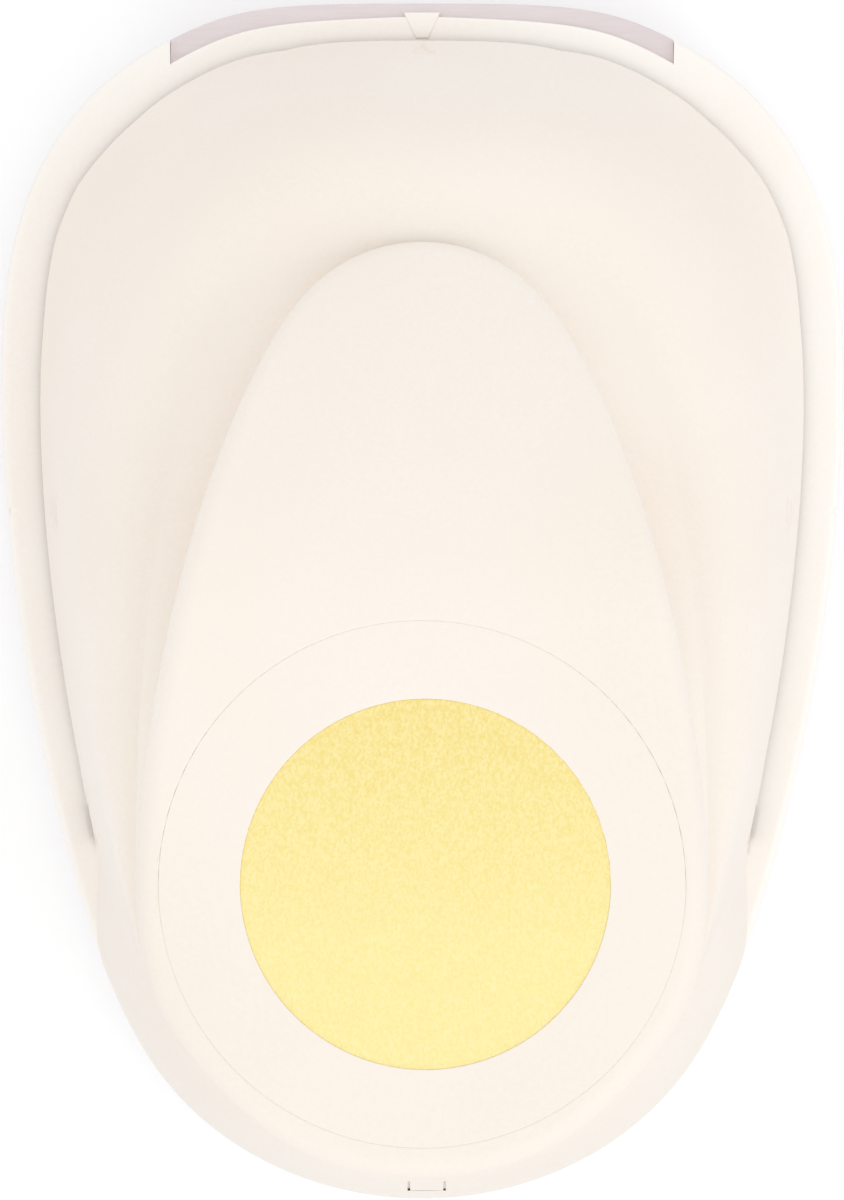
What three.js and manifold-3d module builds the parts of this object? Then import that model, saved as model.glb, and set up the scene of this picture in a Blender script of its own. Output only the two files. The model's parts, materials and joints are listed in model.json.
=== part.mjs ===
// Circle punch: a desk punch with a long press lever that cuts a round shape out of card.
// Millimetres, +Z up. The origin is on the desk under the middle of the body.
// The paper mouth faces -Y and the press pad lies towards +Y.

import * as THREE from 'three';
import { mergeVertices } from 'three/addons/utils/BufferGeometryUtils.js';
import Module from 'manifold-3d';

const wasm = await Module();
wasm.setup();

// Body, seen from above
const bodyWidth = 90;
const bodyLength = 127.6;
const widestSetback = 39.8; // from the front end to the widest place
const tableHeight = 12; // top of the paper table above the desk
const tableEdge = 0.8; // rounding of the table's rim
const footInset = 1; // how much narrower the lower wall is at the desk, each side
const plasticWall = 2;
const tableThickness = 3.6;
const coverThickness = 2.4;
const coverEdge = 0.6;

// Paper mouth and head
const slotGap = 2; // height of the paper slot
const slotReach = 89.8; // depth of the paper slot from the front end
const flareLength = 9; // length over which the head's side widens behind the slot
const frontFlange = 4.2; // table that shows in front of the head
const cornerFlange = 4.9; // and at its front corners
const sideFlange = 4.6; // and beside it
const slotEndFlange = 2.8; // and at the slot's end
const headRise = 22; // from the slot's roof to the head's top
const headRearDrop = 5; // how much lower the head is at its rear
const shoulderMargin = 3.2; // from where the head's top begins to the lever's nose
const shoulderLand = 0.6; // from the brim, seen from above, to where the rear wall begins
const headCrown = 0.6; // rise of the head's top towards the lever
const endNotchLength = 4;
const endNotchWidth = 0.45;
const endNotchDepth = 1.2;
const stopWallWidth = 4; // the paper stop that closes the slot behind the die

// Front lip
const lipWidth = 53.8;
const lipDepth = 1.6;
const lipStep = 0.9; // how far the lip lies below the table
const lipGap = 0.15;

// Cutting tools
const shapeDiameter = 38.1; // the punched circle
const dieMargin = 35.25; // from the body's front end to the punched circle's front edge
const dieClearance = 0.2;
const runningGap = 0.3; // between pieces that slide or turn on each other
const diePlateThickness = 2;
const guidePlateThickness = 1.6;
const plateWidth = 58;
const plateMargin = 9; // plate in front of the hole and behind it
const plateTail = 8; // plates behind the slot's end
const plateCorner = 3;
const spacerDepth = 7;
const spacerCorner = 2;
const cutterWall = 3;
const cutterWeb = 3.5;
const shearRise = 0.8; // rise of the cutter's edge between its two tips
const retract = 0.3; // cutter's edge above the slot's roof at rest
const pressDrop = 6; // from the head's top down to the press plate
const pressPlateThickness = 3;
const pressPlateInset = 0.55; // press plate smaller than the punched circle, all round
const pressEarWidth = 8.4;
const guidePinMargin = 6; // from the punched circle to the middle of each guide pin
const guidePinDiameter = 3;
const guidePinHeadroom = 2; // between the guide pins and the head
const pinCollarDiameter = 5.6;
const pinCollarHeight = 0.8;
const springWire = 0.9;
const springDiameter = 5; // through the middle of the wire
const springCurls = 5;

// Lever
const leverWidth = 58.75; // across the brim under the pad
const noseOverhang = 6; // from the hinge pin to the lever's nose
const padMargin = 34.6; // from the middle of the pad to the body's rear end
const leverTail = 30.3; // from the middle of the pad to the brim's rear
const padHeight = 56; // top of the pad above the desk
const noseRise = 2.8; // lever's nose above the head
const leverWall = 2;
const leverBrim = 1.5; // how far the lever's upper edge stands out over its wall
const brimShare = 0.7; // share of the wall's height below the brim
const rearWaist = 1.9; // how far the rear wall leans forward below the brim
const leverRound = 2.2; // rounding of the lever's upper edge at the pad
const noseRound = 1; // and at its nose
const leverOverlap = 2.4; // how far the lever's walls reach into the head
const leverOpeningGap = 0.7;
const capDiameter = 53.9;
const capThickness = 2;
const capGap = 0.15;
const capEdge = 0.3; // bevel of the cap's rim
const discGap = 0.1;
const discThickness = 0.7;
const discRecess = 0.8;
const discShift = 0.35; // the disc sits this far to the left of the pad's middle
const leverRib = 1.6;
const leverRibSpacing = 18;
const ribClearance = 2.4; // ribs end this far above the head's top
const camRadius = 3;
const camWidth = 24;
const camWeb = 2.4;
const camGap = 0.25;
const stopLength = 5;
const stopReach = 1.4;
const stopHeight = 2.7;
const stopOffset = 21.5; // from the middle of the die to the stops

// Hinge
const hingeMargin = 2.85; // from the punched circle's front edge to the hinge pin
const hingeDrop = 7; // from the head's top to the hinge pin
const hingePinDiameter = 4;
const hingePinHeadDiameter = 5.6;
const hingePinHeadLength = 1;
const hingeLugRadius = 3.6;
const hingeLugWidth = 3.3;
const hingeLugInset = 7.6; // from the middle to each lug
const bracketThickness = 1.6;
const bracketEarRadius = 3.4;
const bracketFootLength = 7.6;
const bracketRivetSpacing = 12;
const clipThickness = 0.8;
const clipDiameter = 6.4;
const clipMouth = 2.6;

// Fasteners
const screwDiameter = 2.8;
const screwHeadDiameter = 5.6;
const screwHeadThickness = 1.1;
const screwHeadSink = 0.3;
const bossDiameter = 6;
const bossGap = 0.4;
const bossWeb = 1.6;
const rearBossOffset = 6; // from the slot's end to the rear bosses
const rearBossMargin = 10; // from the rear bosses to the body's outline
const rearBossHeight = 7.5;
const rearScrewLength = 16.4;
const frontBossSetback = 25.8;
const frontBossMargin = 11.6; // from the front bosses to the body's outline
const frontScrewLength = 6;
const pillarSpacing = 42;
const pillarSetback = 30.6;
const pillarDiameter = 5.6;
const pillarScrewLength = 9;
const smallScrewDiameter = 2.4;
const smallScrewHeadDiameter = 4.6;
const smallScrewSink = 1.6; // depth of the countersunk heads
const rivetDiameter = 3;
const rivetHeadDiameter = 5.2;
const rivetHeadHeight = 0.9;
const rivetSpreadShare = 0.6; // outer rivets, across the half width of the plates' tail
const cutterScrewCircle = 25;
const cutterScrewLength = 5.4;

// Chip chute and rear tongue
const chuteMargin = 2.6; // chute wider than the punched shape, each side
const chuteWall = 1.6;
const tongueWidth = 3.5;
const tongueThickness = 1.2;
const tongueSetback = 1.2; // from the brim's rear to the tongue
const tongueGap = 0.4;
const tongueBarb = 0.7;
const tongueBarbHeight = 1.2;
const tongueShift = 0.5; // the tongue stands this far to the left of the middle

// Centring marks
const markWidth = 2.6;
const markHeight = 3;
const markDepth = 0.4;
const markLine = 0.7;
const markLift = 1.2; // from the slot's roof to the marks
const tableMarkOuter = 4;
const tableMarkInner = 1.9;
const tableMarkLength = 2.6;
const tableMarkRise = 0.3;
const tickDepth = 0.35; // notches in the table's rim beside the die
const tickHeight = 2;

// Outlines, as shares of the half width and of the length from the tip to the widest place.
// Each list holds the control points of two joined cubic curves.
const bodyFrontShares = [[0, 0], [0.369, 0], [0.448, 0.008], [0.613, 0.107],
  [0.892, 0.276], [1, 0.558], [1, 1]];
const bodyRearShares = [[0, 0], [0.248, 0], [0.51, 0.058], [0.655, 0.178],
  [0.848, 0.338], [1, 0.719], [1, 1]];
const leverFrontShares = [[0, 0], [0.146, 0], [0.333, 0.027], [0.468, 0.113],
  [0.774, 0.311], [1, 0.732], [1, 1]];
const leverRearShares = [[0, 0], [0.281, 0], [0.5, 0.083], [0.718, 0.306],
  [0.933, 0.526], [1, 0.658], [1, 1]];
// Head wall in section, in front and beside the pad: share of the way inwards, share of the way up
const headWallShares = [[0, 0], [0.25, 0.5], [0.45, 1], [1, 1]];
const rearWallShares = [[0, 0], [0.15, 0.45], [0.6, 0.88], [1, 1]];
// Lever's back in section: share of the way from nose to pad, share of the rise
const leverBackShares = [[0, 0], [0.33, 0.52], [0.66, 1], [1, 1]];

// Fineness of the facets
const outlineSteps = 8; // per curve, four curves to each side
const wallSteps = 6;
const innerWallSteps = 4;
const roundSteps = 3;
const bigCircle = 48;
const smallCircle = 12;
const curlSteps = 8;
const wireSides = 5;

const overrun = 1; // how far a cut runs past the piece

// Places worked out from the sizes above
const frontY = -bodyLength / 2;
const rearY = bodyLength / 2;
const dieY = frontY + dieMargin + shapeDiameter / 2;
const slotEndY = frontY + slotReach;
const slotRoof = tableHeight + slotGap;
const headTop = slotRoof + headRise;
const tableUnderside = tableHeight - tableThickness;
const padY = rearY - padMargin;
const leverRearY = padY + leverTail;
const hingeY = dieY - shapeDiameter / 2 - hingeMargin;
const noseY = hingeY - noseOverhang;
const hingeZ = headTop - hingeDrop;
const guideTop = slotRoof + guidePlateThickness;
const cutterBottom = slotRoof + retract;
const pressTop = headTop - pressDrop;
const pressBottom = pressTop - pressPlateThickness;
const plateFrontY = dieY - shapeDiameter / 2 - plateMargin;
const plateWideY = dieY + shapeDiameter / 2 + plateMargin;
const plateRearY = slotEndY + plateTail;
const capBottom = padHeight - capThickness;
const guidePinX = shapeDiameter / 2 + guidePinMargin;
const guidePinTop = headTop - plasticWall - guidePinHeadroom;

// Plain helpers

function ramp(value, from, to) {
  return THREE.MathUtils.clamp((value - from) / (to - from), 0, 1);
}

function smoothRamp(value, from, to) {
  return THREE.MathUtils.smoothstep(value, from, to);
}

// A closed solid for cutting and joining, from a geometry or from an indexed skin
function solid(geometry) {
  geometry.deleteAttribute('normal');
  geometry.deleteAttribute('uv');
  const merged = mergeVertices(geometry);
  const corners = Array.from(merged.index.array);
  const kept = [];
  for (let i = 0; i < corners.length; i += 3) {
    const [a, b, c] = corners.slice(i, i + 3);
    if (a !== b && b !== c && c !== a) kept.push(a, b, c);
  }
  const mesh = new wasm.Mesh({
    numProp: 3,
    vertProperties: new Float32Array(merged.attributes.position.array),
    triVerts: new Uint32Array(kept),
  });
  return new wasm.Manifold(mesh);
}

function joined(...solids) {
  return solids.reduce((sum, next) => sum.add(next));
}

function cut(body, ...tools) {
  return tools.reduce((rest, tool) => rest.subtract(tool), body);
}

// One half of a symmetric outline from its front tip to its rear tip, with outward normals
function halfOutline({ front, rear, widest, halfWidth, frontShares, rearShares }) {
  const place = (shares, tip) => shares.map(
    ([across, along]) => new THREE.Vector2(across * halfWidth, tip + along * (widest - tip)),
  );
  const frontPoints = place(frontShares, front);
  const rearPoints = place(rearShares, rear).reverse();
  const spans = [frontPoints.slice(0, 4), frontPoints.slice(3),
    rearPoints.slice(0, 4), rearPoints.slice(3)];
  const half = [];
  spans.forEach((span, which) => {
    const curve = new THREE.CubicBezierCurve(...span);
    const last = which === spans.length - 1 ? outlineSteps : outlineSteps - 1;
    for (let step = 0; step <= last; step += 1) {
      const share = step / outlineSteps;
      const point = curve.getPoint(share);
      const along = curve.getTangent(share);
      half.push({ x: point.x, y: point.y, nx: along.y, ny: -along.x });
    }
  });
  [half[0], half[half.length - 1]].forEach((tip) => {
    tip.x = 0;
    tip.nx = 0;
    tip.ny = Math.sign(tip.ny);
  });
  return half;
}

// The same half outline moved inwards by a depth that may change along it
function inset(half, depthAt) {
  return half.map((p) => {
    const depth = typeof depthAt === 'function' ? depthAt(p) : depthAt;
    return { ...p, x: p.x - p.nx * depth, y: p.y - p.ny * depth };
  });
}

// Half the width of an outline at a place along it
function halfWidthAt(half, y) {
  const next = half.findIndex((p) => p.y >= y);
  const [p, q] = [half[next - 1], half[next]];
  return THREE.MathUtils.mapLinear(y, p.y, q.y, p.x, q.x);
}

// A half outline part of the way from one to another
function between(from, to, shareAt) {
  return from.map((p, i) => {
    const q = to[i];
    const mix = (a, b) => a + (b - a) * shareAt(p);
    const normal = new THREE.Vector2(mix(p.nx, q.nx), mix(p.ny, q.ny)).normalize();
    return { x: mix(p.x, q.x), y: mix(p.y, q.y), nx: normal.x, ny: normal.y };
  });
}

// A whole ring: the half outline and its mirror image, at a height that may change along it
function ring(half, heightAt) {
  const height = (p) => (typeof heightAt === 'function' ? heightAt(p) : heightAt);
  const right = half.map((p) => new THREE.Vector3(p.x, p.y, height(p)));
  const left = half.slice(1, -1).reverse().map((p) => new THREE.Vector3(-p.x, p.y, height(p)));
  return right.concat(left);
}

// A closed skin over a stack of rings, with its ends closed by strips from side to side
function skin(rings) {
  const count = rings[0].length;
  const index = [];
  const quad = (a, b, c, d) => index.push(a, b, c, a, c, d);
  for (let level = 0; level < rings.length - 1; level += 1) {
    const low = level * count;
    const high = low + count;
    for (let i = 0; i < count; i += 1) {
      const next = (i + 1) % count;
      quad(low + i, low + next, high + next, high + i);
    }
  }
  const top = (rings.length - 1) * count;
  for (let i = 0; i < count / 2; i += 1) {
    const left = (count - i) % count;
    const nextLeft = count - i - 1;
    quad(left, nextLeft, i + 1, i);
    quad(top + left, top + i, top + i + 1, top + nextLeft);
  }
  const geometry = new THREE.BufferGeometry();
  const positions = rings.flat().flatMap((p) => [p.x, p.y, p.z]);
  geometry.setAttribute('position', new THREE.Float32BufferAttribute(positions, 3));
  geometry.setIndex(index);
  return solid(geometry);
}

function prism(half, bottom, top) {
  return skin([ring(half, bottom), ring(half, top)]);
}

function box(x0, x1, y0, y1, z0, z1) {
  const geometry = new THREE.BoxGeometry(x1 - x0, y1 - y0, z1 - z0);
  geometry.translate((x0 + x1) / 2, (y0 + y1) / 2, (z0 + z1) / 2);
  return solid(geometry);
}

function rod(radius, bottom, top, x, y, steps = smallCircle) {
  const geometry = new THREE.CylinderGeometry(radius, radius, top - bottom, steps);
  geometry.rotateX(Math.PI / 2);
  geometry.translate(x, y, (bottom + top) / 2);
  return solid(geometry);
}

function crossRod(radius, x0, x1, y, z, steps = smallCircle) {
  const geometry = new THREE.CylinderGeometry(radius, radius, x1 - x0, steps);
  geometry.rotateZ(Math.PI / 2);
  geometry.translate((x0 + x1) / 2, y, z);
  return solid(geometry);
}

// A turned piece about an upright axis, from its profile of [radius, height] pairs
function turned(profile, x, y, steps = smallCircle) {
  const points = profile.map(([radius, height]) => new THREE.Vector2(radius, height));
  const geometry = new THREE.LatheGeometry(points, steps);
  geometry.rotateX(Math.PI / 2);
  geometry.translate(x, y, 0);
  return solid(geometry);
}

// A flat plate with round corners
function plate(width, y0, y1, corner, bottom, top) {
  const half = width / 2;
  const shape = new THREE.Shape();
  shape.absarc(half - corner, y0 + corner, corner, -Math.PI / 2, 0);
  shape.absarc(half - corner, y1 - corner, corner, 0, Math.PI / 2);
  shape.absarc(corner - half, y1 - corner, corner, Math.PI / 2, Math.PI);
  shape.absarc(corner - half, y0 + corner, corner, Math.PI, Math.PI * 1.5);
  const geometry = new THREE.ExtrudeGeometry(shape, {
    depth: top - bottom, bevelEnabled: false, curveSegments: 4,
  });
  geometry.translate(0, 0, bottom);
  return solid(geometry);
}

// The outline that the die plate, the guide plate and their seat share: wide, with a narrow tail
function toolPlate(margin, bottom, top) {
  const wide = plate(
    plateWidth + 2 * margin, plateFrontY - margin, plateWideY + margin, plateCorner, bottom, top,
  );
  const tail = plate(
    plateNeck + 2 * margin, dieY, plateRearY + margin, plateCorner, bottom, top,
  );
  return wide.add(tail);
}

// A shape drawn in Y and Z, stretched across X
function crossPlate(shape, x0, x1) {
  const geometry = new THREE.ExtrudeGeometry(shape, {
    depth: x1 - x0, bevelEnabled: false, curveSegments: 12,
  });
  geometry.rotateZ(Math.PI / 2);
  geometry.rotateY(Math.PI / 2);
  geometry.translate(x0, 0, 0);
  return solid(geometry);
}

const sides = [-1, 1];
const sideNames = ['left', 'right'];

// Materials
function finish(color, roughness, metalness) {
  return new THREE.MeshStandardMaterial({ color, roughness, metalness });
}

const ivoryPlastic = finish(0xf3e9da, 0.45, 0);
const lilacPlastic = finish(0xd9cfd2, 0.45, 0);
const yellowPlastic = finish(0xf6e68c, 0.55, 0);
const plateSteel = finish(0xb9bcc0, 0.35, 1);
const toolSteel = finish(0x9da1a6, 0.3, 1);
const springSteel = finish(0x8f9398, 0.3, 1);
const zincSteel = finish(0xc9cccf, 0.4, 1);

const punch = new THREE.Group();
const leverGroup = new THREE.Group();
const cutterGroup = new THREE.Group();
punch.add(leverGroup, cutterGroup);

function addPiece(group, name, body, material) {
  const made = body.getMesh();
  const geometry = new THREE.BufferGeometry();
  geometry.setAttribute('position', new THREE.BufferAttribute(made.vertProperties, 3));
  geometry.setIndex(new THREE.BufferAttribute(made.triVerts, 1));
  geometry.computeVertexNormals();
  const mesh = new THREE.Mesh(geometry, material);
  mesh.name = name;
  group.add(mesh);
}

// Outlines of the body, the head and the lever

const bodyHalf = halfOutline({
  front: frontY,
  rear: rearY,
  widest: frontY + widestSetback,
  halfWidth: bodyWidth / 2,
  frontShares: bodyFrontShares,
  rearShares: bodyRearShares,
});

const leverHalf = halfOutline({
  front: noseY,
  rear: leverRearY,
  widest: padY,
  halfWidth: leverWidth / 2,
  frontShares: leverFrontShares,
  rearShares: leverRearShares,
});

const shoulderHalf = halfOutline({
  front: noseY - shoulderMargin,
  rear: leverRearY + shoulderLand,
  widest: padY,
  halfWidth: leverWidth / 2 + shoulderLand,
  frontShares: bodyFrontShares,
  rearShares: leverRearShares,
});

// Width of the table that shows outside the head, along the outline
function flangeAt({ y }) {
  const cornerY = frontY + widestSetback / 2;
  const widestY = frontY + widestSetback;
  const toCorner = ramp(y, frontY, cornerY);
  const toSide = ramp(y, cornerY, widestY);
  const toEnd = ramp(y, widestY, slotEndY);
  const toRear = smoothRamp(y, slotEndY, slotEndY + flareLength);
  const open = frontFlange
    + (cornerFlange - frontFlange) * toCorner
    + (sideFlange - cornerFlange) * toSide
    + (slotEndFlange - sideFlange) * toEnd;
  return open * (1 - toRear);
}

const seamHalf = inset(bodyHalf, flangeAt);
const openingHalf = inset(leverHalf, leverBrim - leverOpeningGap);

// Height of the head's top along the body: level in front, falling to the rear
function headTopAt({ y }) {
  const along = ramp(y, dieY, leverRearY);
  return headTop - headRearDrop * along * along;
}

// Lower body: the wall leans in towards the desk and rounds over at the table's rim

function lowerBody() {
  const rings = [
    ring(inset(bodyHalf, footInset + coverEdge), 0),
    ring(inset(bodyHalf, footInset), coverEdge),
    ring(bodyHalf, tableHeight - tableEdge),
  ];
  for (let step = 1; step <= roundSteps; step += 1) {
    const angle = (step / roundSteps) * (Math.PI / 2);
    const depth = tableEdge * (1 - Math.cos(angle));
    rings.push(ring(inset(bodyHalf, depth), tableHeight - tableEdge + tableEdge * Math.sin(angle)));
  }
  return skin(rings);
}

// The strip along the front edge, from the outline to a depth, between two heights
function frontStrip(depth, halfWidth, bottom, top) {
  const outer = prism(inset(bodyHalf, -overrun), bottom, top);
  const inner = prism(inset(bodyHalf, depth), bottom - overrun, top + overrun);
  const window = box(-halfWidth, halfWidth, frontY - 2 * overrun, dieY, bottom, top);
  return outer.subtract(inner).intersect(window);
}

const wholeLowerBody = lowerBody();
const chuteRadius = shapeDiameter / 2 + chuteMargin;
const rearBossY = slotEndY + rearBossOffset;
const rearBossX = halfWidthAt(bodyHalf, rearBossY) - rearBossMargin;
const plateNeck = 2 * (rearBossX - bossDiameter / 2 - bossGap);
const frontBossY = frontY + frontBossSetback;
const frontBossX = halfWidthAt(bodyHalf, frontBossY) - frontBossMargin;
const screwHole = screwDiameter / 2 + runningGap;
const screwSeat = screwHeadThickness + screwHeadSink;
const tongueFrontY = leverRearY + tongueSetback;
const tongueRearY = tongueFrontY + tongueThickness;

// A box as wide as the rear tongue and a margin on each side
function tongueBox(margin, y0, y1, z0, z1) {
  const reach = tongueWidth / 2 + margin;
  return box(-tongueShift - reach, -tongueShift + reach, y0, y1, z0, z1);
}

// Bottom cover

function bottomCover() {
  const floor = wholeLowerBody.intersect(
    box(-bodyWidth, bodyWidth, -bodyLength, bodyLength, -overrun, coverThickness),
  );
  const lipTop = tableHeight - lipStep;
  const lip = wholeLowerBody.intersect(
    frontStrip(lipDepth - lipGap, lipWidth / 2 - lipGap, 0, lipTop),
  );
  const chipWindow = turned([
    [0, -overrun],
    [chuteRadius + coverEdge + overrun, -overrun],
    [chuteRadius, coverEdge],
    [chuteRadius, coverThickness + overrun],
    [0, coverThickness + overrun],
  ], 0, dieY, bigCircle);
  const places = [];
  sides.forEach((side) => {
    places.push([side * rearBossX, rearBossY], [side * frontBossX, frontBossY]);
  });
  const holes = places.flatMap(([x, y]) => [
    rod(screwHole, -overrun, coverThickness + overrun, x, y),
    rod(screwHeadDiameter / 2 + runningGap, -overrun, screwSeat, x, y),
  ]);
  return cut(floor.add(lip), chipWindow, ...holes);
}

// Base frame with the paper table, the seat of the die plate and the chip chute

function tableMark() {
  const shape = new THREE.Shape();
  const outerY = frontY + lipDepth - tableMarkRise;
  const innerY = outerY + tableMarkLength;
  shape.moveTo(-tableMarkOuter / 2, outerY);
  shape.lineTo(tableMarkOuter / 2, outerY);
  shape.lineTo(tableMarkInner / 2, innerY);
  shape.lineTo(-tableMarkInner / 2, innerY);
  shape.closePath();
  const geometry = new THREE.ExtrudeGeometry(shape, {
    depth: tableMarkRise + tableEdge, bevelEnabled: false,
  });
  geometry.translate(0, 0, tableHeight - tableEdge);
  return solid(geometry);
}

function baseFrame() {
  const shellBody = wholeLowerBody.intersect(
    box(-bodyWidth, bodyWidth, -bodyLength, bodyLength, coverThickness, tableHeight + overrun),
  );
  const lipCut = frontStrip(lipDepth, lipWidth / 2, 0, tableHeight + overrun);
  const lipWall = frontStrip(
    lipDepth + plasticWall, lipWidth / 2 + plasticWall, 0, tableHeight + overrun,
  );
  const hollow = prism(
    inset(bodyHalf, footInset + plasticWall), coverThickness - overrun, tableUnderside,
  ).subtract(lipWall);
  const dieTop = tableHeight - diePlateThickness;
  const pocket = toolPlate(runningGap, dieTop, tableHeight + overrun);
  const chute = rod(
    chuteRadius + chuteWall, coverThickness, tableUnderside + overrun, 0, dieY, bigCircle,
  );
  const chuteHole = rod(chuteRadius, 0, tableHeight + overrun, 0, dieY, bigCircle);
  const bosses = [];
  const holes = [];
  sides.forEach((side) => {
    const rearX = side * rearBossX;
    const frontX = side * frontBossX;
    bosses.push(rod(bossDiameter / 2, coverThickness, dieTop, rearX, rearBossY));
    bosses.push(rod(bossDiameter / 2, coverThickness, dieTop, frontX, frontBossY));
    holes.push(rod(screwHole, 0, tableHeight + overrun, rearX, rearBossY));
    holes.push(rod(screwHole, 0, screwSeat + frontScrewLength + runningGap, frontX, frontBossY));
  });
  const notchBand = prism(inset(seamHalf, -endNotchWidth), 0, tableHeight + overrun)
    .subtract(prism(seamHalf, -overrun, tableHeight + 2 * overrun))
    .intersect(box(
      -bodyWidth, bodyWidth, slotEndY - endNotchLength, slotEndY,
      tableHeight - endNotchDepth, tableHeight + overrun,
    ));
  const tongueSlot = tongueBox(
    tongueGap, tongueFrontY - tongueGap - runningGap, tongueRearY + tongueGap,
    0, tableHeight + overrun,
  );
  const rimX = halfWidthAt(bodyHalf, dieY);
  const ticks = sides.map((side) => rod(
    tickDepth, tableHeight - tickHeight, tableHeight + overrun, side * rimX, dieY,
  ));
  return cut(
    joined(shellBody.subtract(hollow), chute, ...bosses, tableMark()),
    lipCut.subtract(tableMark()), pocket, chuteHole, notchBand, tongueSlot, ...ticks, ...holes,
  );
}

// Head shell: its wall is lofted from the seam on the table to the shoulder under the lever.
// In front it is steep and then level, and beside the pad it slopes evenly.

const [frontWall, rearWall] = [headWallShares, rearWallShares].map((shares) => (
  new THREE.CubicBezierCurve(...shares.map(([across, up]) => new THREE.Vector2(across, up)))
));

function wallPlace(share, { y }) {
  const toRear = smoothRamp(y, dieY, padY);
  return frontWall.getPoint(share).lerp(rearWall.getPoint(share), toRear);
}

function headSkin(depth, foot, steps) {
  const low = inset(seamHalf, depth);
  const high = inset(shoulderHalf, depth);
  const rings = [];
  for (let step = 0; step <= steps; step += 1) {
    const half = between(low, high, (p) => wallPlace(step / steps, p).x);
    rings.push(ring(half, (p) => (
      foot + (headTopAt(p) - depth - foot) * wallPlace(step / steps, p).y
    )));
  }
  rings.push(ring(inset(leverHalf, depth), (p) => headTopAt(p) - depth + headCrown));
  return skin(rings);
}

function sideMark(side) {
  const shape = new THREE.Shape();
  const low = slotRoof + markLift;
  shape.moveTo(dieY, low);
  shape.lineTo(dieY + markWidth / 2, low + markHeight);
  shape.lineTo(dieY + markWidth / 2 - markLine, low + markHeight);
  shape.lineTo(dieY, low + 2 * markLine);
  shape.lineTo(dieY - markWidth / 2 + markLine, low + markHeight);
  shape.lineTo(dieY - markWidth / 2, low + markHeight);
  shape.closePath();
  return side < 0
    ? crossPlate(shape, -bodyWidth / 2, 0)
    : crossPlate(shape, 0, bodyWidth / 2);
}

function frontMark() {
  const shape = new THREE.Shape();
  const low = slotRoof + markLift;
  shape.moveTo(0, low);
  shape.lineTo(markWidth / 2, low + markHeight);
  shape.lineTo(-markWidth / 2, low + markHeight);
  shape.closePath();
  const geometry = new THREE.ExtrudeGeometry(shape, { depth: bodyLength, bevelEnabled: false });
  geometry.rotateX(Math.PI / 2);
  return solid(geometry);
}

// A straight arm from a rear boss out to the side wall
function armToWall(side, width, bottom, top) {
  const bossX = side * rearBossX;
  const wallX = side * (bodyWidth / 2);
  return box(
    Math.min(bossX, wallX), Math.max(bossX, wallX),
    rearBossY - width / 2, rearBossY + width / 2, bottom, top,
  );
}

function tongueNotch() {
  return tongueBox(
    tongueGap, tongueFrontY - overrun, tongueRearY + runningGap / 2,
    tableHeight - overrun, headTop,
  );
}

function upperShell() {
  const outer = headSkin(0, tableHeight, wallSteps);
  const inner = headSkin(plasticWall, tableHeight - overrun, innerWallSteps);
  const opening = prism(openingHalf, slotRoof, headTop + headCrown + overrun);
  const below = box(
    -bodyWidth, bodyWidth, -bodyLength, bodyLength, tableHeight - overrun, slotRoof,
  );
  const markSkin = outer.subtract(headSkin(markDepth, tableHeight - overrun, wallSteps));
  const marks = joined(frontMark(), ...sides.map(sideMark)).intersect(markSkin);
  const pegs = [];
  const holes = [];
  sides.forEach((side) => {
    const bossX = side * rearBossX;
    const bossTop = tableHeight + rearBossHeight;
    pegs.push(rod(bossDiameter / 2, slotRoof, bossTop, bossX, rearBossY));
    pegs.push(armToWall(side, bossWeb, slotRoof, bossTop));
    holes.push(rod(
      screwHole, tableHeight - overrun, screwSeat + rearScrewLength + runningGap,
      bossX, rearBossY,
    ));
    const pillarX = side * (pillarSpacing / 2);
    const pillarY = frontY + pillarSetback;
    pegs.push(rod(pillarDiameter / 2, guideTop, headTop + headCrown, pillarX, pillarY));
    holes.push(rod(
      smallScrewDiameter / 2 + runningGap, slotRoof, slotRoof + pillarScrewLength + runningGap,
      pillarX, pillarY,
    ));
  });
  return cut(
    outer.subtract(inner).add(joined(...pegs).intersect(outer)),
    opening, below, tongueNotch(), marks, ...holes,
  );
}

// Paper stop: the flat frame that closes the slot behind the die and carries the head's rear

function paperStop() {
  const layer = box(-bodyWidth, bodyWidth, slotEndY, bodyLength, tableHeight, slotRoof);
  const inside = prism(
    inset(seamHalf, stopWallWidth), tableHeight - overrun, slotRoof + overrun,
  );
  const eyes = sides.flatMap((side) => [
    rod(bossDiameter / 2, tableHeight, slotRoof, side * rearBossX, rearBossY),
    armToWall(side, bossDiameter, tableHeight, slotRoof),
  ]);
  const holes = sides.map((side) => rod(
    screwHole, tableHeight - overrun, slotRoof + overrun, side * rearBossX, rearBossY,
  ));
  return cut(
    headSkin(0, tableHeight, wallSteps).intersect(layer),
    cut(inside, ...eyes), tongueNotch(), ...holes,
  );
}

addPiece(punch, 'bottom_cover', bottomCover(), lilacPlastic);
addPiece(punch, 'base_frame', baseFrame(), ivoryPlastic);
addPiece(punch, 'paper_stop', paperStop(), ivoryPlastic);
addPiece(punch, 'upper_shell', upperShell(), ivoryPlastic);

// Rear tongue that snaps the head to the base

function rearTongue() {
  const blade = tongueBox(
    0, tongueFrontY, tongueRearY, tableUnderside - tongueBarbHeight, slotRoof + overrun,
  );
  const tip = tongueBox(0, tongueFrontY, tongueRearY, slotRoof, headTop).intersect(
    headSkin(0, tableHeight, wallSteps),
  );
  const barb = tongueBox(
    0, tongueFrontY - tongueBarb - tongueGap, tongueRearY,
    tableUnderside - tongueBarbHeight, tableUnderside,
  );
  return joined(blade, tip, barb);
}

addPiece(punch, 'rear_tongue', rearTongue(), ivoryPlastic);

// Die plate, spacer and guide plate

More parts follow.
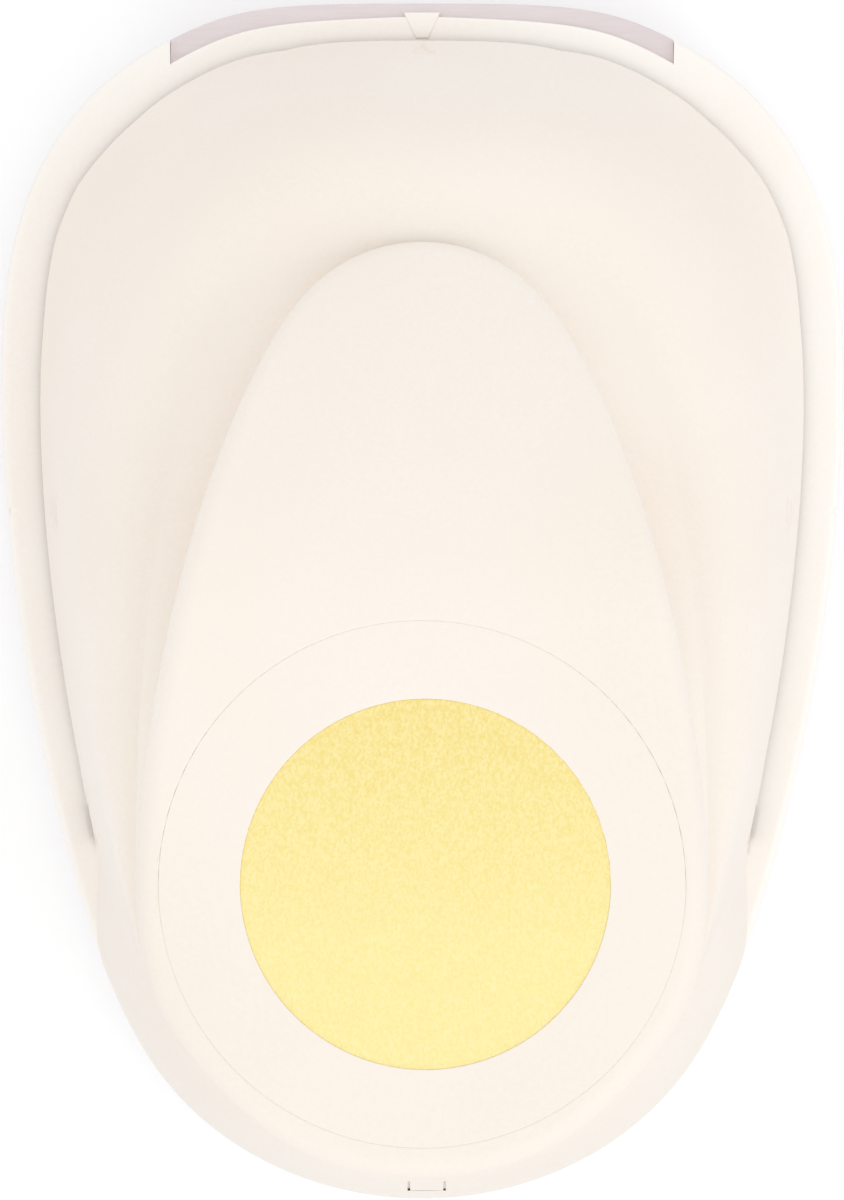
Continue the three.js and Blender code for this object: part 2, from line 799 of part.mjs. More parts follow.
const rivetSpread = (plateNeck / 2) * rivetSpreadShare;
const rivetPlaces = [-rivetSpread, 0, rivetSpread].map((x) => [x, plateRearY - spacerDepth / 2]);
const bracketRivetY = plateFrontY + bracketFootLength / 2;
const bracketRivets = sides.map((side) => [side * (bracketRivetSpacing / 2), bracketRivetY]);
const guidePins = sides.map((side) => [side * guidePinX, dieY]);
const pillars = sides.map((side) => [side * (pillarSpacing / 2), frontY + pillarSetback]);

function rivetHoles(bottom, top) {
  return rivetPlaces.map(([x, y]) => rod(
    rivetDiameter / 2 + runningGap, bottom - overrun, top + overrun, x, y,
  ));
}

function diePlate() {
  const bottom = tableHeight - diePlateThickness;
  const blank = toolPlate(0, bottom, tableHeight);
  const hole = rod(
    shapeDiameter / 2 + dieClearance, bottom - overrun, tableHeight + overrun,
    0, dieY, bigCircle,
  );
  return cut(blank, hole, ...rivetHoles(bottom, tableHeight));
}

function plateSpacer() {
  const blank = plate(
    plateNeck, plateRearY - spacerDepth, plateRearY, spacerCorner, tableHeight, slotRoof,
  );
  return cut(blank, ...rivetHoles(tableHeight, slotRoof));
}

// A countersunk hole or screw head that widens towards its lower or upper face
function countersink(radius, headRadius, face, depth, length, x, y) {
  const inward = Math.sign(length);
  const profile = [
    [0, face],
    [headRadius, face],
    [radius, face + inward * depth],
    [radius, face + length],
    [0, face + length],
  ];
  return turned(inward > 0 ? profile : profile.reverse(), x, y);
}

function guidePlate() {
  const blank = toolPlate(0, slotRoof, guideTop);
  const hole = rod(
    shapeDiameter / 2 + runningGap, slotRoof - overrun, guideTop + overrun, 0, dieY, bigCircle,
  );
  const pinHoles = guidePins.map(([x, y]) => rod(
    guidePinDiameter / 2, slotRoof - overrun, guideTop + overrun, x, y,
  ));
  const rivets = bracketRivets.map(([x, y]) => rod(
    rivetDiameter / 2 + runningGap, slotRoof - overrun, guideTop + overrun, x, y,
  ));
  const screws = pillars.map(([x, y]) => countersink(
    smallScrewDiameter / 2 + runningGap, smallScrewHeadDiameter / 2 + runningGap, slotRoof,
    smallScrewSink, guidePlateThickness + overrun, x, y,
  ));
  return cut(
    blank, hole, ...pinHoles, ...rivets, ...screws, ...rivetHoles(slotRoof, guideTop),
  );
}

// A rivet from its flush foot to the domed head above what it holds
function rivet([x, y], foot, seat) {
  return turned([
    [0, foot],
    [rivetDiameter / 2, foot],
    [rivetDiameter / 2, seat],
    [rivetHeadDiameter / 2, seat],
    [rivetHeadDiameter / 2, seat + rivetHeadHeight / 2],
    [rivetHeadDiameter / 4, seat + rivetHeadHeight],
    [0, seat + rivetHeadHeight],
  ], x, y);
}

addPiece(punch, 'die_plate', diePlate(), plateSteel);
addPiece(punch, 'plate_spacer', plateSpacer(), plateSteel);
addPiece(punch, 'guide_plate', guidePlate(), plateSteel);
rivetPlaces.forEach((place, which) => {
  const body = rivet(place, tableHeight - diePlateThickness, guideTop);
  addPiece(punch, `plate_rivet_${which + 1}`, body, zincSteel);
});

// Hinge bracket: a folded strip with two ears that hold the hinge pin

const earInner = hingeLugInset + hingeLugWidth + runningGap;
const earOuter = earInner + bracketThickness;

function pivotBracket() {
  const foot = plate(
    2 * earOuter, plateFrontY, plateFrontY + bracketFootLength, bracketThickness,
    guideTop, guideTop + bracketThickness,
  );
  const ear = new THREE.Shape();
  ear.moveTo(hingeY + bracketEarRadius, guideTop);
  ear.absarc(hingeY, hingeZ, bracketEarRadius, 0, Math.PI);
  ear.lineTo(hingeY - bracketEarRadius, guideTop);
  ear.closePath();
  const ears = [crossPlate(ear, -earOuter, -earInner), crossPlate(ear, earInner, earOuter)];
  const bore = crossRod(
    hingePinDiameter / 2 + runningGap / 2, -earOuter - overrun, earOuter + overrun,
    hingeY, hingeZ,
  );
  const holes = bracketRivets.map(([x, y]) => rod(
    rivetDiameter / 2 + runningGap, guideTop - overrun, guideTop + bracketThickness + overrun,
    x, y,
  ));
  return cut(joined(foot, ...ears), bore, ...holes);
}

function hingePin() {
  const end = earOuter + clipThickness + 2 * runningGap;
  const shaft = crossRod(hingePinDiameter / 2, -earOuter, end, hingeY, hingeZ);
  const head = crossRod(
    hingePinHeadDiameter / 2, -earOuter - hingePinHeadLength, -earOuter, hingeY, hingeZ,
  );
  return shaft.add(head);
}

function hingePinClip() {
  const start = earOuter + runningGap / 2;
  const disc = crossRod(clipDiameter / 2, start, start + clipThickness, hingeY, hingeZ);
  const bore = crossRod(
    hingePinDiameter / 2 + runningGap / 2, start - overrun, start + clipThickness + overrun,
    hingeY, hingeZ,
  );
  const mouth = box(
    start - overrun, start + clipThickness + overrun, hingeY - clipMouth / 2,
    hingeY + clipMouth / 2, hingeZ - clipDiameter, hingeZ,
  );
  return cut(disc, bore, mouth);
}

addPiece(punch, 'pivot_bracket', pivotBracket(), plateSteel);
bracketRivets.forEach((place, which) => {
  const body = rivet(place, slotRoof, guideTop + bracketThickness);
  addPiece(punch, `bracket_rivet_${sideNames[which]}`, body, zincSteel);
});
addPiece(punch, 'hinge_pin', hingePin(), toolSteel);
addPiece(punch, 'hinge_pin_clip', hingePinClip(), springSteel);

// Guide pins and the screws of the case

function guidePin([x, y]) {
  return turned([
    [0, slotRoof],
    [guidePinDiameter / 2 - runningGap / 2, slotRoof],
    [guidePinDiameter / 2 - runningGap / 2, guideTop],
    [pinCollarDiameter / 2, guideTop],
    [pinCollarDiameter / 2, guideTop + pinCollarHeight],
    [guidePinDiameter / 2, guideTop + pinCollarHeight],
    [guidePinDiameter / 2, guidePinTop - runningGap],
    [guidePinDiameter / 2 - runningGap, guidePinTop],
    [0, guidePinTop],
  ], x, y);
}

function panHeadScrew(length, x, y) {
  return turned([
    [0, screwHeadSink],
    [screwHeadDiameter / 2 - runningGap, screwHeadSink],
    [screwHeadDiameter / 2, screwHeadSink + runningGap],
    [screwHeadDiameter / 2, screwSeat],
    [screwDiameter / 2, screwSeat],
    [screwDiameter / 2, screwSeat + length - screwDiameter / 2],
    [0, screwSeat + length],
  ], x, y);
}

function headScrew([x, y]) {
  return countersink(
    smallScrewDiameter / 2, smallScrewHeadDiameter / 2, slotRoof, smallScrewSink - runningGap / 2,
    pillarScrewLength, x, y,
  );
}

sides.forEach((side, which) => {
  const name = sideNames[which];
  const rear = panHeadScrew(rearScrewLength, side * rearBossX, rearBossY);
  const front = panHeadScrew(frontScrewLength, side * frontBossX, frontBossY);
  addPiece(punch, `guide_pin_${name}`, guidePin(guidePins[which]), toolSteel);
  addPiece(punch, `rear_case_screw_${name}`, rear, zincSteel);
  addPiece(punch, `front_case_screw_${name}`, front, zincSteel);
  addPiece(punch, `head_screw_${name}`, headScrew(pillars[which]), zincSteel);
});

// Cutter, its press plate and the screws between them

const cutterScrews = [0, 1, 2].map((which) => {
  const angle = Math.PI / 2 + (which * 2 * Math.PI) / 3;
  const reach = cutterScrewCircle / 2;
  return [reach * Math.cos(angle), dieY + reach * Math.sin(angle)];
});

function punchCutter() {
  const outer = shapeDiameter / 2;
  const inner = outer - cutterWall;
  const cup = turned([
    [inner, cutterBottom],
    [outer, cutterBottom],
    [outer, pressBottom],
    [0, pressBottom],
    [0, pressBottom - cutterWeb],
    [inner, pressBottom - cutterWeb],
    [inner, cutterBottom],
  ], 0, dieY, bigCircle);
  const relief = new THREE.Shape();
  relief.moveTo(dieY - outer - overrun, cutterBottom - overrun);
  relief.lineTo(dieY + outer + overrun, cutterBottom - overrun);
  relief.lineTo(dieY + outer, cutterBottom);
  relief.lineTo(dieY, cutterBottom + shearRise);
  relief.lineTo(dieY - outer, cutterBottom);
  relief.closePath();
  const holes = cutterScrews.map(([x, y]) => rod(
    smallScrewDiameter / 2 + runningGap, pressBottom - cutterWeb - overrun,
    pressBottom + overrun, x, y,
  ));
  return cut(cup, crossPlate(relief, -outer - overrun, outer + overrun), ...holes);
}

function pressPlate() {
  const disc = rod(shapeDiameter / 2 - pressPlateInset, pressBottom, pressTop, 0, dieY, bigCircle);
  const earRadius = pressEarWidth / 2;
  const bar = box(
    -guidePinX, guidePinX, dieY - earRadius, dieY + earRadius,
    pressBottom, pressTop,
  );
  const ears = guidePins.map(([x, y]) => rod(earRadius, pressBottom, pressTop, x, y));
  const pinHoles = guidePins.map(([x, y]) => rod(
    guidePinDiameter / 2 + runningGap, pressBottom - overrun, pressTop + overrun, x, y,
  ));
  const screwHoles = cutterScrews.map(([x, y]) => countersink(
    smallScrewDiameter / 2 + runningGap, smallScrewHeadDiameter / 2 + runningGap, pressTop,
    smallScrewSink, -pressPlateThickness - overrun, x, y,
  ));
  return cut(joined(disc, bar, ...ears), ...pinHoles, ...screwHoles);
}

function cutterScrew([x, y]) {
  return countersink(
    smallScrewDiameter / 2, smallScrewHeadDiameter / 2, pressTop, smallScrewSink - runningGap / 2,
    -cutterScrewLength, x, y,
  );
}

addPiece(cutterGroup, 'punch_cutter', punchCutter(), toolSteel);
addPiece(cutterGroup, 'press_plate', pressPlate(), plateSteel);
cutterScrews.forEach((place, which) => {
  addPiece(cutterGroup, `cutter_screw_${which + 1}`, cutterScrew(place), zincSteel);
});

// Return springs round the guide pins

function springPath() {
  const bottom = guideTop + pinCollarHeight + springWire / 2 + runningGap / 2;
  const top = pressBottom - springWire / 2 - runningGap / 2;
  const points = [];
  const count = springCurls * curlSteps;
  for (let step = 0; step <= count; step += 1) {
    const angle = (step / curlSteps) * 2 * Math.PI;
    points.push({ angle, z: bottom + (top - bottom) * (step / count) });
  }
  return points;
}

function returnSpring([x, y]) {
  const path = springPath();
  const positions = [];
  path.forEach(({ angle, z }) => {
    for (let side = 0; side < wireSides; side += 1) {
      const turn = (side / wireSides) * 2 * Math.PI;
      const reach = springDiameter / 2 + (springWire / 2) * Math.cos(turn);
      positions.push(x + reach * Math.cos(angle), y + reach * Math.sin(angle));
      positions.push(z + (springWire / 2) * Math.sin(turn));
    }
  });
  const index = [];
  for (let step = 0; step < path.length - 1; step += 1) {
    for (let side = 0; side < wireSides; side += 1) {
      const a = step * wireSides + side;
      const b = step * wireSides + ((side + 1) % wireSides);
      index.push(a, a + wireSides, b, b, a + wireSides, b + wireSides);
    }
  }
  const last = (path.length - 1) * wireSides;
  for (let side = 1; side < wireSides - 1; side += 1) {
    index.push(0, side, side + 1, last, last + side + 1, last + side);
  }
  const geometry = new THREE.BufferGeometry();
  geometry.setAttribute('position', new THREE.Float32BufferAttribute(positions, 3));
  geometry.setIndex(index);
  return solid(geometry);
}

function springGap() {
  const path = springPath();
  return path[curlSteps].z - path[0].z - springWire;
}

console.log(`Least gap between the curls of a return spring: ${springGap().toFixed(2)} mm`);
guidePins.forEach((place, which) => {
  addPiece(punch, `return_spring_${sideNames[which]}`, returnSpring(place), springSteel);
});

// Lever: a long shell that rises from its nose to a level pad

const leverBack = new THREE.CubicBezierCurve(
  ...leverBackShares.map(([along, up]) => new THREE.Vector2(along, up)),
);
const leverRiseEnd = padY - capDiameter / 2 - capGap;

// Height of the lever's back at a place along it, found by halving on the section curve
function leverTopAt(y) {
  const target = ramp(y, noseY, leverRiseEnd);
  let low = 0;
  let high = 1;
  while (high - low > 1e-6) {
    const middle = (low + high) / 2;
    if (leverBack.getPoint(middle).x < target) low = middle;
    else high = middle;
  }
  const noseTop = headTop + noseRise;
  return noseTop + (padHeight - noseTop) * leverBack.getPoint(low).y;
}

function leverBottomAt(p) {
  return headTopAt(p) - leverOverlap;
}

function leverRoundAt(y) {
  return noseRound + (leverRound - noseRound) * ramp(y, noseY, leverRiseEnd);
}

// One ring of the lever's wall below the brim, moved in by a depth and by the rear wall's lean
function leverRing(share, depth, heightAt) {
  const leaning = inset(leverHalf, leverBrim + depth).map((p) => ({
    ...p, y: p.y - rearWaist * share * Math.sin(ramp(p.y, padY, leverRearY) * (Math.PI / 2)),
  }));
  return ring(leaning, heightAt);
}

// The lever's skin: its wall, the brim that hides the opening, and the rounded upper edge
function leverOuter() {
  const rings = [0, 1 / 2, 1].map((share) => leverRing(share, 0, (p) => {
    const low = leverBottomAt(p);
    return low + (leverTopAt(p.y) - leverRoundAt(p.y) - low) * brimShare * share;
  }));
  for (let step = 0; step <= roundSteps; step += 1) {
    const angle = (step / roundSteps) * (Math.PI / 2);
    const edge = inset(leverHalf, (p) => leverRoundAt(p.y) * (1 - Math.cos(angle)));
    rings.push(ring(edge, (p) => leverTopAt(p.y) - leverRoundAt(p.y) * (1 - Math.sin(angle))));
  }
  return skin(rings);
}

function leverInner() {
  const ceiling = (p) => Math.min(leverTopAt(p.y), capBottom) - leverWall;
  return skin([
    leverRing(0, leverWall, (p) => leverBottomAt(p) - overrun),
    leverRing(1, leverWall, ceiling),
  ]);
}

function hingeLug(side) {
  const lug = new THREE.Shape();
  lug.moveTo(hingeY - hingeLugRadius, headTop);
  lug.lineTo(hingeY - hingeLugRadius, hingeZ);
  lug.absarc(hingeY, hingeZ, hingeLugRadius, Math.PI, 2 * Math.PI);
  lug.lineTo(hingeY + hingeLugRadius, headTop);
  lug.closePath();
  const inner = side * hingeLugInset;
  const outer = side * (hingeLugInset + hingeLugWidth);
  return crossPlate(lug, Math.min(inner, outer), Math.max(inner, outer));
}

function leverStops() {
  const y = dieY + stopOffset;
  const reach = halfWidthAt(leverHalf, y) - leverBrim;
  const top = headTopAt({ y }) - plasticWall - runningGap;
  return sides.map((side) => {
    const inner = side * (reach - leverWall);
    const outer = side * (reach + stopReach);
    return box(
      Math.min(inner, outer), Math.max(inner, outer), y - stopLength / 2, y + stopLength / 2,
      top - stopHeight, top,
    );
  });
}

function lever() {
  const outer = leverOuter();
  const shell = outer.subtract(leverInner());
  const ribBottom = headTop + ribClearance;
  const ribInset = leverBrim + leverWall / 2;
  const ribRearY = leverRearY - ribInset - rearWaist;
  const ribs = sides.map((side) => {
    const middle = side * (leverRibSpacing / 2);
    return box(
      middle - leverRib / 2, middle + leverRib / 2, hingeY, ribRearY, ribBottom, padHeight,
    );
  });
  const camZ = pressTop + camGap + camRadius;
  const cam = crossRod(camRadius, -camWidth / 2, camWidth / 2, dieY, camZ);
  const web = box(
    -camWidth / 2, camWidth / 2, dieY - camWeb / 2, dieY + camWeb / 2, camZ, padHeight,
  );
  const crossRib = box(
    -leverWidth / 2 + ribInset, leverWidth / 2 - ribInset,
    padY - leverRib / 2, padY + leverRib / 2, ribBottom, padHeight,
  );
  const inside = joined(...ribs, web, crossRib).intersect(outer);
  const lugs = joined(...sides.map(hingeLug)).intersect(
    prism(
      inset(leverHalf, leverBrim), hingeZ - 2 * hingeLugRadius, headTop + noseRise - noseRound,
    ),
  );
  const bore = crossRod(
    hingePinDiameter / 2 + runningGap, -leverWidth / 2, leverWidth / 2, hingeY, hingeZ,
  );
  const capSeat = rod(
    capDiameter / 2 + capGap, capBottom, padHeight + overrun, 0, padY, bigCircle,
  );
  return cut(joined(shell, inside, cam, lugs, ...leverStops()), bore, capSeat);
}

function padCap() {
  const outer = capDiameter / 2;
  const blank = turned([
    [0, capBottom],
    [outer, capBottom],
    [outer, padHeight - capEdge],
    [outer - capEdge, padHeight],
    [0, padHeight],
  ], 0, padY, bigCircle);
  const seat = rod(
    shapeDiameter / 2 + discGap, padHeight - discRecess, padHeight + overrun,
    -discShift, padY, bigCircle,
  );
  return blank.subtract(seat);
}

function shapeDisc() {
  const bottom = padHeight - discRecess;
  return rod(shapeDiameter / 2, bottom, bottom + discThickness, -discShift, padY, bigCircle);
}

addPiece(leverGroup, 'lever', lever(), ivoryPlastic);
addPiece(leverGroup, 'pad_cap', padCap(), ivoryPlastic);
addPiece(leverGroup, 'shape_disc', shapeDisc(), yellowPlastic);

export default punch;
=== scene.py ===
"""Looks of the circle punch: smooth moulded skins, finishes, light and camera.

Lengths are millimetres in the part's own frame (the paper mouth faces -Y, +Z is up) and are
turned to metres when a mesh is made.
"""

import json
import logging
import math
from dataclasses import dataclass, field
from enum import Enum
from typing import Callable, Sequence

import bpy
import numpy as np
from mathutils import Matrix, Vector

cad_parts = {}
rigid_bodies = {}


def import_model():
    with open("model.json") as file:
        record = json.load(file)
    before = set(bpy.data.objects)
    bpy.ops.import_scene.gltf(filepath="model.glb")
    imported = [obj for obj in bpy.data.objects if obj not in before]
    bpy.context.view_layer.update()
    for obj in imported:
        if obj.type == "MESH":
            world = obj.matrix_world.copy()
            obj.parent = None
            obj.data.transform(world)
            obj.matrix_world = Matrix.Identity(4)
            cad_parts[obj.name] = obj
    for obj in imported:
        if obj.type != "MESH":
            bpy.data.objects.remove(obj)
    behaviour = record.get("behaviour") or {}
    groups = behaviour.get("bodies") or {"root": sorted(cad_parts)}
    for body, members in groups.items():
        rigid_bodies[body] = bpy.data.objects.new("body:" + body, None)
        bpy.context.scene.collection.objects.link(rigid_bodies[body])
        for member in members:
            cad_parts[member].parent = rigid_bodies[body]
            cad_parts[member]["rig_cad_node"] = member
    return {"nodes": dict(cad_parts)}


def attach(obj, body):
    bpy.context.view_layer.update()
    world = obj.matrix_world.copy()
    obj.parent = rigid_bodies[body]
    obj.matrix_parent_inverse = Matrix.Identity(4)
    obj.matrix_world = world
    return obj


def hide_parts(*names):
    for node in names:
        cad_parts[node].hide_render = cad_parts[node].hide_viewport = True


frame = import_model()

LOG = logging.getLogger("circle_punch")
MM = 0.001
Array = np.ndarray
Depth = float | Array
Piece = bpy.types.Object
Tree = bpy.types.NodeTree
Socket = bpy.types.NodeSocket
# Edges that turn more than this stay crisp.
SHARP_DEGREES = 32


class Side(Enum):
    """The two sides of the punch, by the sign of X."""

    LEFT = -1
    RIGHT = 1


class Body(Enum):
    """The bodies of the frame that the new pieces ride on."""

    CASE = "case"
    LEVER = "lever_arm"


# Shares of the half width and of the length from a tip to the widest place: the control points
# of two joined cubic curves.
BODY_FRONT = ((0, 0), (0.369, 0), (0.448, 0.008), (0.613, 0.107), (0.892, 0.276), (1, 0.558),
              (1, 1))
BODY_REAR = ((0, 0), (0.248, 0), (0.51, 0.058), (0.655, 0.178), (0.848, 0.338), (1, 0.719),
             (1, 1))
LEVER_FRONT = ((0, 0), (0.146, 0), (0.333, 0.027), (0.468, 0.113), (0.774, 0.311), (1, 0.732),
               (1, 1))
LEVER_REAR = ((0, 0), (0.281, 0), (0.5, 0.083), (0.718, 0.306), (0.933, 0.526), (1, 0.658),
              (1, 1))
# Shares along and upwards: the control points of one cubic section curve each.
HEAD_WALL = ((0, 0), (0.25, 0.5), (0.45, 1), (1, 1))
REAR_WALL = ((0, 0), (0.15, 0.45), (0.6, 0.88), (1, 1))
LEVER_BACK = ((0, 0), (0.33, 0.52), (0.66, 1), (1, 1))


def cubic(points: Array, share: Array) -> tuple[Array, Array]:
    """A cubic curve and its tangent: weights (1-s)^3, 3s(1-s)^2, 3s^2(1-s), s^3 on four points.

    Args:
        points: control points, (..., 4, 2).
        share: places along the curve from 0 to 1, (...).

    Returns:
        The points on the curve and the tangents there, each (..., 2).
    """
    s = share[..., None]
    r = 1 - s
    a, b, c, d = (points[..., i, :] for i in range(4))
    place = r**3 * a + 3 * s * r**2 * b + 3 * s**2 * r * c + s**3 * d
    tangent = 3 * r**2 * (b - a) + 6 * s * r * (c - b) + 3 * s**2 * (d - c)
    return place, tangent


def ramp(value: Array, start: float, end: float) -> Array:
    """A straight ramp from 0 at start to 1 at end, level outside."""
    return np.clip((value - start) / (end - start), 0, 1)


def smooth_ramp(value: Array, start: float, end: float) -> Array:
    """The same ramp with soft ends, 3r^2 - 2r^3."""
    r = ramp(value, start, end)
    return r * r * (3 - 2 * r)


def halving(inside: Callable[[Array], Array], low: Array, high: Array) -> Array:
    """Where a test stops holding between two values, found by halving the span 40 times.

    Args:
        inside: tells for each trial value whether it lies inside.
        low: values that lie inside.
        high: values that lie outside.

    Returns:
        The largest values found inside.
    """
    for _ in range(40):
        middle = (low + high) / 2
        held = inside(middle)
        low, high = np.where(held, middle, low), np.where(held, high, middle)
    return low


@dataclass(frozen=True)
class Loop:
    """A closed loop seen from above: its points and their outward normals."""

    x: Array
    y: Array
    nx: Array
    ny: Array

    def inset(self, depth: Depth) -> "Loop":
        """The loop moved inwards along its normals by a depth."""
        return Loop(self.x - self.nx * depth, self.y - self.ny * depth, self.nx, self.ny)

    def shifted(self, dy: Array) -> "Loop":
        """The loop moved along Y by an amount for each point."""
        return Loop(self.x, self.y + dy, self.nx, self.ny)

    def toward(self, other: "Loop", share: Depth) -> "Loop":
        """The loop part of the way to another one, with its normals mixed and made unit.

        Args:
            other: the loop with the same number of points.
            share: how far to go, 0 to 1.

        Returns:
            The mixed loop.
        """
        mixed = [a + (b - a) * share for a, b in zip(
            (self.x, self.y, self.nx, self.ny), (other.x, other.y, other.nx, other.ny))]
        length = np.hypot(mixed[2], mixed[3])
        return Loop(mixed[0], mixed[1], mixed[2] / length, mixed[3] / length)

    def ring(self, z: Depth) -> Array:
        """The loop as points in space at a height, (count, 3)."""
        return np.stack([self.x, self.y, np.broadcast_to(z, self.x.shape)], axis=1)

    def circle(self, x: float, y: float, radius: float) -> "Loop":
        """The circle met by rays from its middle to this loop's points.

        Args:
            x: the middle's X.
            y: the middle's Y.
            radius: the circle's radius.

        Returns:
            A loop with a point on each ray.
        """
        angle = np.arctan2(self.y - y, self.x - x)
        nx, ny = np.cos(angle), np.sin(angle)
        return Loop(x + radius * nx, y + radius * ny, nx, ny)


@dataclass(frozen=True)
class Outline:
    """A symmetric outline seen from above: four joined cubic curves down each side.

    A place on it is a turn from 0 to 8: 0 is the front tip, 4 the rear tip, below 4 is the right
    side, and above 4 the left side's mirror image on the way back.
    """

    front: float
    rear: float
    widest: float
    half_width: float
    front_shares: tuple
    rear_shares: tuple

    def curves(self) -> Array:
        """The control points of the four curves of one side, (4, 4, 2)."""
        def place(shares: tuple, tip: float) -> Array:
            """Shares turned to millimetres from one tip."""
            across, along = np.array(shares, float).T
            return np.stack([across * self.half_width, tip + along * (self.widest - tip)], axis=1)
        front = place(self.front_shares, self.front)
        rear = place(self.rear_shares, self.rear)[::-1]
        return np.stack([front[:4], front[3:], rear[:4], rear[3:]])

    def loop(self, turn: Array) -> Loop:
        """The outline's points at the given turns.

        Args:
            turn: places from 0 to 8.

        Returns:
            The loop, with normals that are the tangents turned by a quarter.
        """
        side = np.where(turn <= 4, 1.0, -1.0)
        along = np.where(turn <= 4, turn, 8 - turn)
        which = np.minimum(along.astype(int), 3)
        place, tangent = cubic(self.curves()[which], along - which)
        length = np.hypot(tangent[:, 0], tangent[:, 1])
        return Loop(place[:, 0] * side, place[:, 1], tangent[:, 1] / length * side,
                    -tangent[:, 0] / length)

    def turn_at_y(self, y: float) -> float:
        """The turn on the right side where the outline passes a Y."""
        turn = np.linspace(0, 4, 4001)
        return float(np.interp(y, self.loop(turn).y, turn))

    def turn_at_x(self, x: float) -> float:
        """The turn on the right side's front where the outline passes an X."""
        turn = np.linspace(0, 1.8, 2001)
        return float(np.interp(x, self.loop(turn).x, turn))

    def near(self, turn: float, reach: float, count: int) -> Array:
        """Turns spread over a reach in millimetres to both sides of one turn.

        Args:
            turn: the middle.
            reach: how far to go along the outline to each side.
            count: how many turns.

        Returns:
            The turns, which may pass 0 or 8.
        """
        step = 1e-3
        pair = self.loop(np.array([turn % 8, (turn + step) % 8]))
        speed = math.hypot(pair.x[1] - pair.x[0], pair.y[1] - pair.y[0]) / step
        return turn + np.linspace(-reach, reach, count) / speed


def both_sides(turns: Array) -> Array:
    """Turns of the right side with those of the left side at the same places."""
    return np.concatenate([turns, 8 - turns])


def all_turns(per_curve: int, *clusters: Array) -> Array:
    """Turns all round an outline, denser where clusters are given.

    Args:
        per_curve: how many for each of the eight curves.
        clusters: more turns.

    Returns:
        The turns in order, from 0 up to below 8.
    """
    turns = np.concatenate([np.arange(8 * per_curve) / per_curve, *clusters]) % 8
    turns = np.sort(np.round(turns, 7))
    return turns[np.concatenate([[True], np.diff(turns) > 1e-6])]


def grid_faces(rows: int, columns: int, round_rows: bool, round_columns: bool) -> Array:
    """Four corners for each cell of a grid of points numbered row by row.

    Args:
        rows: number of rows.
        columns: number of columns.
        round_rows: whether the last row joins the first.
        round_columns: whether the last column joins the first.

    Returns:
        The corners, (cells, 4).
    """
    r = np.arange(rows if round_rows else rows - 1)[:, None]
    c = np.arange(columns if round_columns else columns - 1)[None, :]
    r1, c1 = (r + 1) % rows, (c + 1) % columns
    corners = [r * columns + c, r * columns + c1, r1 * columns + c1, r1 * columns + c]
    return np.stack(np.broadcast_arrays(*corners), axis=-1).reshape(-1, 4)


